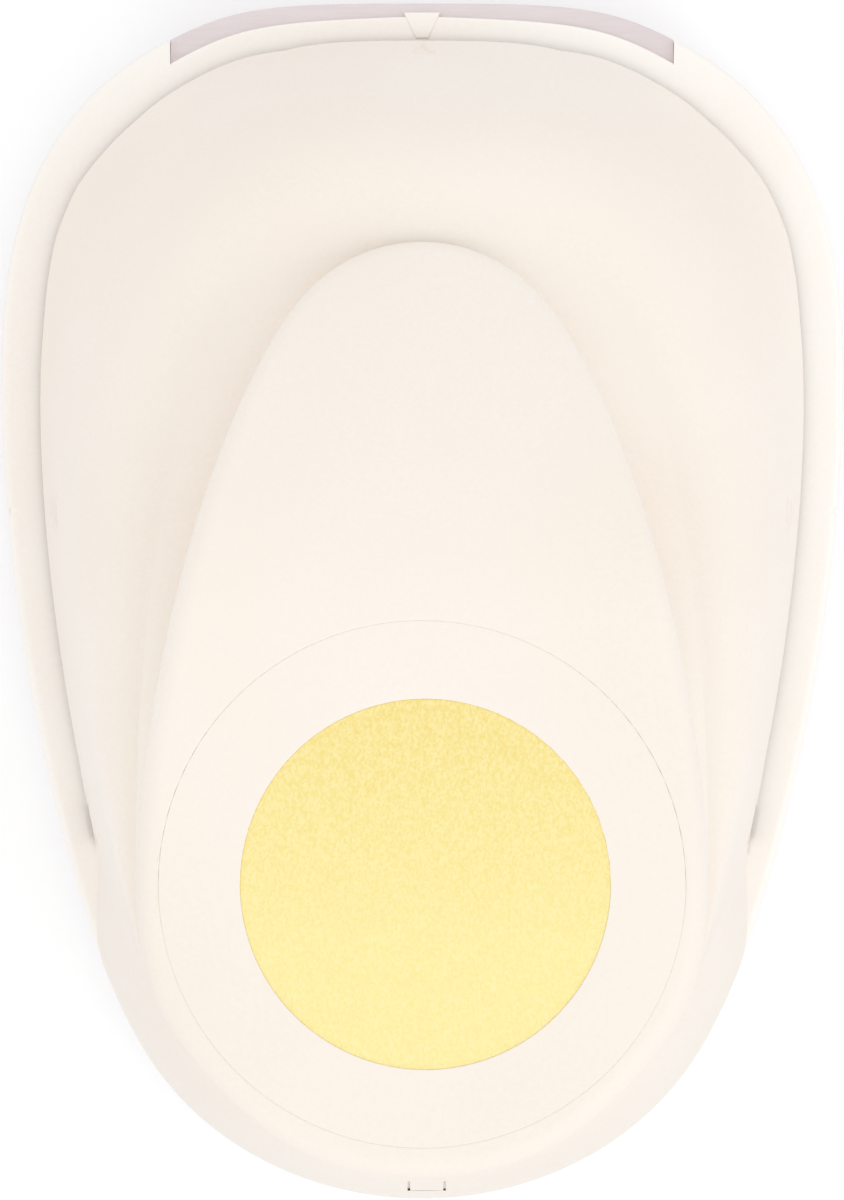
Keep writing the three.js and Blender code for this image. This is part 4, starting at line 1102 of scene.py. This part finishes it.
    def inside_rings(self, outline: Loop, shoulder: Loop, opening: Loop) -> list[Array]:
        """Rings down the opening and along the inside of the wall, back to the slot's roof.

        A place that would lie inside the opening is moved out to the opening's edge.

        Args:
            outline: the body's outline.
            shoulder: the shoulder's outline.
            opening: the opening's edge.

        Returns:
            The rings.
        """
        f = self.form
        inside = self.wall(outline, shoulder, f.wall, self.inside_foot, np.linspace(0, 1, 15))
        rings = [opening.ring(f.head_top_at(shoulder.y) - f.wall)]
        for loop, z in reversed(inside):
            reach = (loop.x - opening.x) * opening.nx + (loop.y - opening.y) * opening.ny
            keep = reach > 0
            x, y = np.where(keep, loop.x, opening.x), np.where(keep, loop.y, opening.y)
            rings.append(np.stack([x, y, z], axis=1))
        return rings


@dataclass
class PressLever:
    """The press lever with its round seat, ribs, cam and hinge lugs, the cap and the disc."""

    form: Form = FORM
    brim_share: float = 0.7
    rear_waist: float = 1.9
    rounding: float = 2.2
    nose_rounding: float = 1
    overlap: float = 2.4
    seam_half: float = 0.19
    seam_depth: float = 0.06
    cap_radius: float = 27.095
    disc_seat: float = 19.055
    disc_foot: float = 55.2
    disc_top: float = 55.9
    rib_half: float = 0.8
    rib_x: float = 9
    rib_foot: float = 38.4
    rib_least: float = 0.1
    rib_end: float = 3
    cross_top: float = 53
    cam_half: float = 12
    cam_z: float = 33.25
    cam_radius: float = 3
    lug_radius: float = 3.6
    lug_x: tuple = (7.6, 10.9)
    lug_rise: float = 2
    lug_land: float = 0.8
    lug_arc: tuple = (0.7 * np.pi, 2 * np.pi)
    web_half: float = 1.2
    root: float = 0.6
    stop_y: float = 12
    stop_half: float = 2.5
    stop_height: float = 2.7
    stop_reach: float = 1.4
    stop_gap: float = 0.3
    sweep: float = 0.55

    def leaned(self, outline: Loop, share: float, depth: float = 0) -> Loop:
        """The wall below the brim: set in from the outline, and waisted at the rear.

        Args:
            outline: the outline at the brim.
            share: 0 at the foot, 1 at the waist.
            depth: how far inside the wall.

        Returns:
            The loop.
        """
        loop = outline.inset(self.form.brim + depth)
        along = ramp(loop.y, self.form.pad_y, self.form.lever_rear_y)
        return loop.shifted(-self.rear_waist * share * np.sin(along * np.pi / 2))

    def rounding_at(self, y: Array) -> Array:
        """Radius of the upper edge: small at the nose, growing to the pad."""
        share = ramp(y, self.form.nose_y, self.form.pad_y - self.form.seat_radius)
        return self.nose_rounding + (self.rounding - self.nose_rounding) * share

    def foot_at(self, y: Array) -> Array:
        """Height of the lever's lower edge, a little way inside the head."""
        return self.form.head_top_at(y) - self.overlap

    def outer_rings(self, outline: Loop) -> list[Array]:
        """Rings from the middle of the cap's seat out over the back and down to the foot.

        Between the seat's rim and the upper edge a ring goes straight from one to the other, and
        its height is that of the lever's back at each place.

        Args:
            outline: the lever's outline.

        Returns:
            The rings.
        """
        f = self.form
        seat = outline.circle(0, f.pad_y, f.seat_radius)
        rings = [outline.circle(0, f.pad_y, 0).ring(f.cap_bottom), seat.ring(f.cap_bottom)]
        rings += edge_rings(seat, f.pad, -self.seam_half, -self.seam_depth, quarter(4)[::-1])
        rim = seat.inset(-self.seam_half)
        edge = outline.inset(self.rounding_at(outline.y))
        for share in np.linspace(0, 1, 41)[1:]:
            loop = rim.toward(edge, share)
            rings.append(loop.ring(f.lever_top_at(loop.y)))
        for angle in quarter(9)[1:]:
            radius = self.rounding_at(outline.y)
            loop = outline.inset(radius * (1 - math.sin(angle)))
            rings.append(loop.ring(f.lever_top_at(loop.y) - self.rounding_at(loop.y)
                                   * (1 - math.cos(angle))))
        return rings + self.wall_rings(outline)

    def wall_rings(self, outline: Loop) -> list[Array]:
        """Rings from the brim down to the foot.

        From the brim the wall sweeps in and down to the waist on a curve that leaves the brim
        sideways and meets the waist upright: a mix of a straight line with one that is set in by
        sin(a) and lowered by 1 - cos(a).

        Args:
            outline: the outline at the brim.

        Returns:
            The rings.
        """
        waist = self.leaned(outline, 1)
        rings = []
        for share in np.linspace(0, 1, 10)[1:]:
            angle = share * np.pi / 2
            loop = outline.toward(waist, (1 - self.sweep) * share + self.sweep * math.sin(angle))
            drop = self.sweep * share + (1 - self.sweep) * (1 - math.cos(angle))
            rings.append(loop.ring(self.height_at(loop.y, 1 - drop * (1 - self.brim_share))))
        for share in np.linspace(1, 0, 9)[1:]:
            loop = self.leaned(outline, share)
            rings.append(loop.ring(self.height_at(loop.y, share * self.brim_share)))
        return rings

    def height_at(self, y: Array, share: float) -> Array:
        """Height a share of the way from the wall's foot to the brim."""
        low = self.foot_at(y)
        return low + (self.form.lever_top_at(y) - self.rounding_at(y) - low) * share

    def ceiling_at(self, y: Array) -> Array:
        """Height of the lever's inside."""
        return np.minimum(self.form.lever_top_at(y), self.form.cap_bottom) - self.form.wall

    def inner_rings(self, outline: Loop) -> list[Array]:
        """Rings from the foot up the inside of the wall and across the ceiling to its middle."""
        f = self.form
        rings = []
        for share in np.linspace(0, 1, 9):
            loop = self.leaned(outline, share, f.wall)
            low = self.foot_at(loop.y)
            rings.append(loop.ring(low + (self.ceiling_at(loop.y) - low) * share))
        top = self.leaned(outline, 1, f.wall)
        middle = outline.circle(0, f.pad_y, 0)
        for share in np.linspace(0, 1, 21)[1:]:
            loop = top.toward(middle, share)
            rings.append(loop.ring(self.ceiling_at(loop.y)))
        return rings

    def ribs(self, skin: Skin) -> None:
        """Adds two ribs along the lever that follow its back, and one across under the pad."""
        f = self.form
        y = np.linspace(f.hinge_y, f.lever_rear_y - f.brim - self.rear_waist - self.rib_end, 48)
        top = np.maximum(self.ceiling_at(y) + self.root, self.rib_foot + self.rib_least)
        foot = np.full_like(y, self.rib_foot)
        for side in Side:
            x0, x1 = (side.value * self.rib_x + d for d in (-self.rib_half, self.rib_half))
            corners = [(x0, foot), (x1, foot), (x1, top), (x0, top)]
            rings = [np.stack([np.full_like(y, x), y, z], axis=1) for x, z in corners]
            skin.add_strip(np.stack(rings, axis=1))
        reach = f.lever_half - f.brim - f.wall
        skin.add_box((-reach, f.pad_y - self.rib_half, self.rib_foot),
                     (reach, f.pad_y + self.rib_half, self.cross_top))

    def cam_and_lugs(self, skin: Skin) -> None:
        """Adds the round cam on its web, the two hinge lugs and the stops beside the springs."""
        f = self.form
        angle = np.arange(48) * (2 * np.pi / 48)
        cam = np.column_stack([f.die_y + self.cam_radius * np.cos(angle),
                               self.cam_z + self.cam_radius * np.sin(angle)])
        skin.add_bar(cam, -self.cam_half, self.cam_half)
        top = float(self.ceiling_at(np.array([f.die_y]))[0]) + self.root
        skin.add_box((-self.cam_half, f.die_y - self.web_half, self.cam_z),
                     (self.cam_half, f.die_y + self.web_half, top))
        turn = np.linspace(*self.lug_arc, 25)
        arc = np.column_stack([f.hinge_y + self.lug_radius * np.cos(turn),
                               f.hinge_z + self.lug_radius * np.sin(turn)])
        peak = f.head_top + self.lug_rise
        lug = np.vstack([arc, [f.hinge_y + self.lug_radius, peak],
                         [f.hinge_y + self.lug_land, peak]])
        for side in Side:
            inner, outer = (side.value * x for x in self.lug_x)
            skin.add_bar(lug, inner, outer)
        reach = float(f.lever.loop(np.array([f.lever.turn_at_y(self.stop_y)])).x[0]) - f.brim
        ceiling = float(f.head_top_at(np.array([self.stop_y]))[0]) - f.wall - self.stop_gap
        for side in Side:
            xs = sorted(side.value * (reach + more) for more in (-f.wall, self.stop_reach))
            skin.add_box((xs[0], self.stop_y - self.stop_half, ceiling - self.stop_height),
                         (xs[1], self.stop_y + self.stop_half, ceiling))

    def lever(self) -> Piece:
        """The lever as one moulding: its closed wall with what stands inside it."""
        outline = self.form.lever.loop(all_turns(48))
        rings = self.outer_rings(outline) + self.inner_rings(outline)
        skin = Skin().add_rings(rings, closed=False)
        self.ribs(skin)
        self.cam_and_lugs(skin)
        return skin.make("lever_moulding")

    def cap(self) -> Piece:
        """The round cap: a flat dish with rounded rims and the disc's seat a little off middle."""
        f = self.form
        middle = f.lever.loop(all_turns(24)).circle(0, f.pad_y, 1)
        seat = middle.circle(f.disc_x, f.pad_y, self.disc_seat)
        outer = middle.circle(0, f.pad_y, self.cap_radius)
        rings = [middle.circle(f.disc_x, f.pad_y, 0).ring(self.disc_foot),
                 seat.ring(self.disc_foot)]
        rings += edge_rings(seat, f.pad, -self.seam_half, -self.seam_depth, quarter(4)[::-1])
        start, end = seat.inset(-self.seam_half), outer.inset(self.seam_half)
        rings += [start.toward(end, share).ring(f.pad) for share in (0.25, 0.5, 0.75)]
        rings += edge_rings(outer, f.pad, self.seam_half, -self.seam_depth, quarter(5))
        rings += [outer.ring(f.cap_bottom), middle.circle(0, f.pad_y, 0).ring(f.cap_bottom)]
        return Skin().add_rings(rings, closed=False).make("cap_moulding")

    def disc(self) -> Piece:
        """The yellow disc: a sheet with a softened upper rim."""
        f, r = self.form, self.form.shape_radius
        foot, top = self.disc_foot, self.disc_top
        profile = [[0, foot], [r, foot], [r, top - self.seam_depth]]
        profile += [[r - self.seam_half * (1 - math.cos(a)),
                     top - self.seam_depth * (1 - math.sin(a))] for a in quarter(4)[1:]]
        skin = Skin().add_turned(profile + [[r / 2, top], [0, top]], f.disc_x, f.pad_y, 192)
        return skin.make("disc_sheet")


def linear(colour: str) -> tuple[float, float, float, float]:
    """A colour written as sRGB hex, turned to linear: c / 12.92 or ((c + 0.055) / 1.055)^2.4.

    Args:
        colour: six hex digits.

    Returns:
        Red, green, blue and full opacity.
    """
    parts = [int(colour[i:i + 2], 16) / 255 for i in (0, 2, 4)]
    red, green, blue = (c / 12.92 if c <= 0.04045 else ((c + 0.055) / 1.055)**2.4 for c in parts)
    return red, green, blue, 1.0


def add_node(tree: Tree, kind: str, settings: dict | None = None,
             inputs: dict | None = None) -> bpy.types.Node:
    """Adds a node with its settings and its inputs.

    Args:
        tree: where it goes.
        kind: the node's type name.
        settings: the node's own properties.
        inputs: sockets by name or number, each a value or the output that feeds it.

    Returns:
        The node.
    """
    node = tree.nodes.new(kind)
    for name, value in (settings or {}).items():
        setattr(node, name, value)
    for name, value in (inputs or {}).items():
        if isinstance(value, Socket):
            tree.links.new(value, node.inputs[name])
        else:
            node.inputs[name].default_value = value
    return node


def noise(tree: Tree, vector: Socket, size_mm: float, detail: float, **more: float) -> Socket:
    """A noise whose features have the given size in millimetres."""
    return add_node(tree, "ShaderNodeTexNoise", inputs={
        "Vector": vector, "Scale": 1000 / size_mm, "Detail": detail, **more}).outputs[0]


def stretch(tree: Tree, vector: Socket, scale: Sequence[float]) -> Socket:
    """Places scaled along each axis."""
    return add_node(tree, "ShaderNodeMapping", inputs={0: vector, 3: scale}).outputs[0]


def remap(tree: Tree, value: Socket, start: float, end: float, low: float = 0.0,
          high: float = 1.0) -> Socket:
    """A value carried from the span start to end over to low to high, and held outside."""
    return add_node(tree, "ShaderNodeMapRange", inputs={
        0: value, 1: start, 2: end, 3: low, 4: high}).outputs[0]


def maths(tree: Tree, operation: str, *values: Socket | float, clamp: bool = False) -> Socket:
    """The result of a sum on sockets or numbers."""
    return add_node(tree, "ShaderNodeMath", {"operation": operation, "use_clamp": clamp},
                    dict(enumerate(values))).outputs[0]


def mix(tree: Tree, share: Socket, first: Socket | tuple, second: Socket | tuple) -> Socket:
    """Two colours mixed by a share."""
    return add_node(tree, "ShaderNodeMix", {"data_type": "RGBA"}, {
        0: share, 6: first, 7: second}).outputs[2]


def bump(tree: Tree, strength: float, depth_mm: float, height: Socket) -> Socket:
    """The normal that a height pattern of a depth in millimetres gives."""
    return add_node(tree, "ShaderNodeBump", inputs={
        "Strength": strength, "Distance": depth_mm * MM, "Height": height}).outputs[0]


@dataclass(frozen=True)
class Finish:
    """What every finish has: a name, the record's slot and the start of its material.

    A span is the part of a pattern's values that counts, and a relief is the strength and the
    depth in millimetres of its bump.
    """

    name: str
    slot: str

    def dress(self, *pieces: Piece) -> None:
        """Puts the finish on pieces in place of what they had."""
        material = bpy.data.materials.get(self.name) or self.material()
        for piece in pieces:
            piece.data.materials.clear()
            piece.data.materials.append(material)

    def material(self) -> bpy.types.Material:
        """Makes the material: its own nodes feed one principled shader."""
        material = bpy.data.materials.new(self.name)
        material.use_nodes = True
        tree = material.node_tree
        tree.nodes.clear()
        place = add_node(tree, "ShaderNodeTexCoord").outputs["Object"]
        shader = add_node(tree, "ShaderNodeBsdfPrincipled", inputs=self.inputs(tree, place))
        add_node(tree, "ShaderNodeOutputMaterial", inputs={"Surface": shader.outputs[0]})
        return material

    def inputs(self, tree: Tree, place: Socket) -> dict:
        """The shader's inputs; each kind of finish gives its own."""
        raise NotImplementedError


@dataclass(frozen=True)
class MouldedPlastic(Finish):
    """Injection-moulded ABS: a matt, very finely eroded skin with faint flow tone and soft gloss.

    The flow tone is a slow change over some centimetres where the melt ran. The grain is the
    spark-eroded skin of the mould, drawn at 0.45 mm because the real 0.1 mm would not show.
    """

    colour: str
    deep: str
    roughness: float = 0.44
    flow_mm: float = 34
    grain_mm: float = 0.45
    streak: float = 1
    flow_span: tuple = (0.35, 0.68)
    noise_span: tuple = (0.3, 0.7)
    shares: tuple = (0.6, 0.4)
    gloss_swing: float = 0.05
    relief: tuple = (0.22, 0.03)
    refraction: float = 1.53

    def inputs(self, tree: Tree, place: Socket) -> dict:
        """Flow tone and speckle in the colour, cloudy gloss, and the grain as a fine bump."""
        run = stretch(tree, place, (1 / self.streak, 1, 1))
        flow = noise(tree, run, self.flow_mm, detail=3.0, Roughness=0.45)
        grain = noise(tree, run, self.grain_mm, detail=2.0, Roughness=0.6)
        both = maths(tree, "ADD", remap(tree, flow, *self.flow_span, 0.0, self.shares[0]),
                     remap(tree, grain, *self.noise_span, 0.0, self.shares[1]))
        gloss = (self.roughness + sign * self.gloss_swing for sign in (-1, 1))
        return {"Base Color": mix(tree, both, linear(self.colour), linear(self.deep)),
                "Roughness": remap(tree, flow, *self.noise_span, *gloss),
                "Normal": bump(tree, *self.relief, grain), "IOR": self.refraction}


@dataclass(frozen=True)
class GrainedSheet(Finish):
    """Yellow polypropylene sheet, rolled: a fine grain that is a little longer along the roll.

    The grain is a noise stretched along Y and a little distorted. The tone is painted shade: it
    runs from a deeper yellow at the front to a paler one at the rear, and a little deeper again at
    the rim.
    """

    colour: str
    deep: str
    pale: str
    middle: tuple = (FORM.disc_x, FORM.pad_y)
    radius: float = FORM.shape_radius
    # Painted shade: how far in from the edge the rim darkens, and the Y span of the front-to-rear
    # tone.
    rim: float = 0.7
    tone_y: tuple = (-19, 6)
    grain_mm: float = 0.3
    grain_length: float = 1.5
    grain_span: tuple = (0.36, 0.64)
    noise_span: tuple = (0.3, 0.7)
    grain_share: float = 0.55
    rim_share: float = 0.35
    gloss: tuple = (0.42, 0.6)
    relief: tuple = (0.3, 0.04)
    refraction: float = 1.49

    def inputs(self, tree: Tree, place: Socket) -> dict:
        """Painted shade along the disc and at its rim; the grain in colour, gloss and bump."""
        local = add_node(tree, "ShaderNodeMapping", inputs={
            0: place, 1: (-self.middle[0] * MM, -self.middle[1] * MM, 0)}).outputs[0]
        x, y, _ = add_node(tree, "ShaderNodeSeparateXYZ", inputs={0: local}).outputs
        flat = add_node(tree, "ShaderNodeCombineXYZ", inputs={0: x, 1: y}).outputs[0]
        far = add_node(tree, "ShaderNodeVectorMath", {"operation": "LENGTH"}, {
            0: flat}).outputs["Value"]
        grain = noise(tree, stretch(tree, local, (1, 1 / self.grain_length, 1)), self.grain_mm,
                      detail=2.0, Roughness=0.55, Distortion=0.6)
        deep = linear(self.deep)
        # Painted shade: a deeper yellow towards the front, and again at the rim.
        tone = remap(tree, y, self.tone_y[0] * MM, self.tone_y[1] * MM)
        rim = remap(tree, far, (self.radius - self.rim) * MM, self.radius * MM, 0.0,
                    self.rim_share)
        painted_shade = mix(tree, rim, mix(tree, tone, deep, linear(self.colour)), deep)
        speckle = remap(tree, grain, *self.grain_span, 0.0, self.grain_share)
        return {"Base Color": mix(tree, speckle, painted_shade, linear(self.pale)),
                "Roughness": remap(tree, grain, *self.noise_span, *self.gloss),
                "Normal": bump(tree, *self.relief, grain), "IOR": self.refraction}


class Lay(Enum):
    """Which way the fine marks of a metal's last working run."""

    ALONG_X = (1.0, 14.0, 14.0)
    ALONG_Z = (12.0, 12.0, 1.0)
    EVEN = (1.0, 1.0, 1.0)


@dataclass(frozen=True)
class WorkedMetal(Finish):
    """Steel with the marks of its last working: stamped sheet, ground faces, drawn wire or zinc.

    The marks are a noise stretched along the lay, drawn at 0.25 mm across, and a slower one
    gives the cloudy gloss of an oiled or plated surface.
    """

    colour: str
    deep: str
    roughness: float
    lay: Lay = Lay.EVEN
    mark_mm: float = 0.25
    mark_share: float = 0.6
    cloud_mm: float = 6
    tone_span: tuple = (0.55, 1.05)
    gloss_span: tuple = (0.5, 1.1)
    gloss_swing: tuple = (-0.07, 0.09)
    relief: tuple = (0.2, 0.02)

    def inputs(self, tree: Tree, place: Socket) -> dict:
        """Marks in colour, gloss and bump, with clouds over them."""
        marks = noise(tree, stretch(tree, place, self.lay.value),
                      self.mark_mm * max(self.lay.value), detail=4.0)
        clouds = noise(tree, place, self.cloud_mm, detail=3.0)
        mixed = maths(tree, "MULTIPLY_ADD", marks, self.mark_share, clouds)
        tone = remap(tree, mixed, *self.tone_span)
        gloss = (self.roughness + swing for swing in self.gloss_swing)
        return {"Base Color": mix(tree, tone, linear(self.colour), linear(self.deep)),
                "Roughness": remap(tree, mixed, *self.gloss_span, *gloss),
                "Normal": bump(tree, *self.relief, marks), "Metallic": 1.0}


IVORY = MouldedPlastic("ABS_moulded_ivory", "ivory_plastic", "faf3ea", "f6ece1")
# A paler copy of the ivory for the base: painted light that lifts the table where the head's wall
# shades it.
IVORY_PAINTED_LIGHT = MouldedPlastic("ABS_moulded_ivory_painted_light", "ivory_plastic", "fffcf7", "fcf6ef")
LILAC = MouldedPlastic("ABS_moulded_lilac", "lilac_plastic", "eae0e1", "dfd4d6", streak=9,
                       flow_mm=9)
# The deep yellow is painted shade, laid on the disc's front and rim.
YELLOW = GrainedSheet("PP_sheet_yellow", "yellow_plastic", "f9ea9c", "f3dc80", "fff5bc")
PLATE = WorkedMetal("steel_sheet_stamped", "plate_steel", "c3c6ca", "a9adb2", 0.32, Lay.ALONG_X)
TOOL = WorkedMetal("steel_tool_ground", "tool_steel", "a9adb2", "8e9298", 0.24, Lay.ALONG_X)
SPRING = WorkedMetal("steel_wire_drawn", "spring_steel", "999da2", "7c8086", 0.3, Lay.ALONG_Z)
ZINC = WorkedMetal("steel_screw_zinc_plated", "zinc_steel", "d2d4d6", "b9bbb4", 0.36)


@dataclass
class Works:
    """The steel works inside: each carried-over node by the finish it has."""

    finishes: dict = field(default_factory=lambda: {
        PLATE: ("die_plate", "guide_plate", "plate_spacer", "press_plate", "pivot_bracket"),
        TOOL: ("punch_cutter", "hinge_pin", "guide_pin"),
        SPRING: ("return_spring",),
        ZINC: ("plate_rivet", "bracket_rivet", "rear_case_screw", "front_case_screw",
               "head_screw", "cutter_screw"),
    })

    def dress(self, nodes: dict) -> int:
        """Puts each finish on the nodes whose names start as listed.

        Args:
            nodes: the frame's nodes by name.

        Returns:
            How many nodes were dressed.
        """
        count = 0
        for finish, starts in self.finishes.items():
            found = [node for name, node in nodes.items() if name.startswith(starts)]
            finish.dress(*found)
            count += len(found)
        return count


@dataclass
class Studio:
    """The pale floor, the soft sky with one large lamp, and the camera overhead."""

    camera_height: float = 1162
    frame_length: float = 128.14
    sensor: float = 36
    overhead: tuple = (1.0, 0.985, 0.965, 1)
    horizon: tuple = (0.96, 0.985, 1.03, 1)
    sky_span: tuple = (0.1, 0.8)
    side_fall: tuple = (0.012, 0.07, 0)
    lamp_watts: float = 3.0
    lamp_size: float = 1100
    lamp_place: tuple = (-1150, 780, 1350)
    floor_reach: float = 3000
    floor_drop: float = 0.05
    floor_colour: tuple = (0.88, 0.89, 0.9, 1)
    floor_glow: float = 0.16

    def floor(self) -> Piece:
        """A wide pale floor a hair under the punch that shows white and keeps its shadow."""
        mesh = bpy.data.meshes.new("floor")
        reach = self.floor_reach * MM
        mesh.from_pydata([(x * reach, y * reach, -self.floor_drop * MM) for x, y in (
            (-1, -1), (1, -1), (1, 1), (-1, 1))], [], [(0, 1, 2, 3)])
        piece = bpy.data.objects.new("floor", mesh)
        bpy.context.scene.collection.objects.link(piece)
        material = bpy.data.materials.new("paper_backdrop_matt")
        material.use_nodes = True
        tree = material.node_tree
        tree.nodes.clear()
        seen = add_node(tree, "ShaderNodeLightPath").outputs["Is Camera Ray"]
        matt = add_node(tree, "ShaderNodeBsdfDiffuse", inputs={0: self.floor_colour})
        glow = add_node(tree, "ShaderNodeEmission", inputs={0: (1, 1, 1, 1), 1: self.floor_glow})
        lit = add_node(tree, "ShaderNodeAddShader", inputs={
            0: matt.outputs[0], 1: glow.outputs[0]})
        mixed = add_node(tree, "ShaderNodeMixShader", inputs={
            0: seen, 1: matt.outputs[0], 2: lit.outputs[0]})
        add_node(tree, "ShaderNodeOutputMaterial", inputs={0: mixed.outputs[0]})
        mesh.materials.append(material)
        return piece

    def light(self) -> None:
        """A soft sky that shows white to the camera and in reflections, and one large lamp."""
        world = bpy.data.worlds.new("studio")
        world.use_nodes = True
        tree = world.node_tree
        tree.nodes.clear()
        path = add_node(tree, "ShaderNodeLightPath").outputs
        shown = maths(tree, "ADD", path["Is Camera Ray"], path["Is Glossy Ray"], clamp=True)
        shown = maths(tree, "ADD", shown, path["Is Transmission Ray"], clamp=True)
        way = add_node(tree, "ShaderNodeTexCoord").outputs["Generated"]
        up = add_node(tree, "ShaderNodeSeparateXYZ", inputs={0: way}).outputs[2]
        tint = mix(tree, remap(tree, up, *self.sky_span), self.horizon, self.overhead)
        lean = add_node(tree, "ShaderNodeVectorMath", {"operation": "DOT_PRODUCT"}, {
            0: way, 1: self.side_fall}).outputs["Value"]
        level = maths(tree, "ADD", lean, 1.0)
        soft = add_node(tree, "ShaderNodeBackground", inputs={0: tint, 1: level})
        white = add_node(tree, "ShaderNodeBackground", inputs={0: (1, 1, 1, 1), 1: 1.0})
        mixed = add_node(tree, "ShaderNodeMixShader", inputs={
            0: shown, 1: soft.outputs[0], 2: white.outputs[0]})
        add_node(tree, "ShaderNodeOutputWorld", inputs={0: mixed.outputs[0]})
        bpy.context.scene.world = world
        data = bpy.data.lights.new("soft_lamp", "AREA")
        data.energy, data.size = self.lamp_watts, self.lamp_size * MM
        lamp = bpy.data.objects.new("soft_lamp", data)
        place = Vector(self.lamp_place) * MM
        lamp.location = place
        lamp.rotation_euler = (-place).to_track_quat("-Z", "Y").to_euler()
        lamp.visible_camera = False
        bpy.context.scene.collection.objects.link(lamp)

    def camera(self) -> None:
        """The camera looks straight down, with the paper mouth at the top of the picture."""
        data = bpy.data.cameras.new("overhead")
        data.sensor_width = self.sensor
        data.lens = self.sensor * (self.camera_height - FORM.table) / self.frame_length
        camera = bpy.data.objects.new("overhead", data)
        camera.location = (0, 0, self.camera_height * MM)
        camera.rotation_euler = (0, 0, math.pi)
        bpy.context.scene.collection.objects.link(camera)
        bpy.context.scene.camera = camera


def place(piece: Piece, body: Body, finish: Finish, *nodes: str) -> None:
    """Dresses a piece, lets it ride on a body and stand for the nodes that it replaces.

    Args:
        piece: the new piece.
        body: what it moves with.
        finish: what it is made of.
        nodes: the frame's nodes that it stands for.
    """
    finish.dress(piece)
    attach(piece, body.value)
    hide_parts(*nodes)
    LOG.info("%s: %d faces, for %s", piece.name, len(piece.data.polygons), ", ".join(nodes))


def main() -> None:
    """Builds every piece, then the stage, the light and the camera."""
    logging.basicConfig(level=logging.INFO, format="%(name)s: %(message)s")
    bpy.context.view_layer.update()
    bpy.context.scene.view_settings.view_transform = "Standard"
    lower, head, press = Lower(), Head(), PressLever()
    place(lower.cover(), Body.CASE, LILAC, "bottom_cover")
    # The base wears the paler ivory, painted light over the shade beside the head's wall.
    place(lower.base(), Body.CASE, IVORY_PAINTED_LIGHT, "base_frame")
    place(lower.paper_stop(), Body.CASE, IVORY, "paper_stop")
    place(head.shell(), Body.CASE, IVORY, "upper_shell")
    place(head.tongue(), Body.CASE, IVORY, "rear_tongue")
    place(press.lever(), Body.LEVER, IVORY, "lever")
    place(press.cap(), Body.LEVER, IVORY, "pad_cap")
    place(press.disc(), Body.LEVER, YELLOW, "shape_disc")
    LOG.info("steel and other nodes dressed: %d", Works().dress(frame["nodes"]))
    studio = Studio()
    studio.floor()
    studio.light()
    studio.camera()


if __name__ == "__main__":
    main()
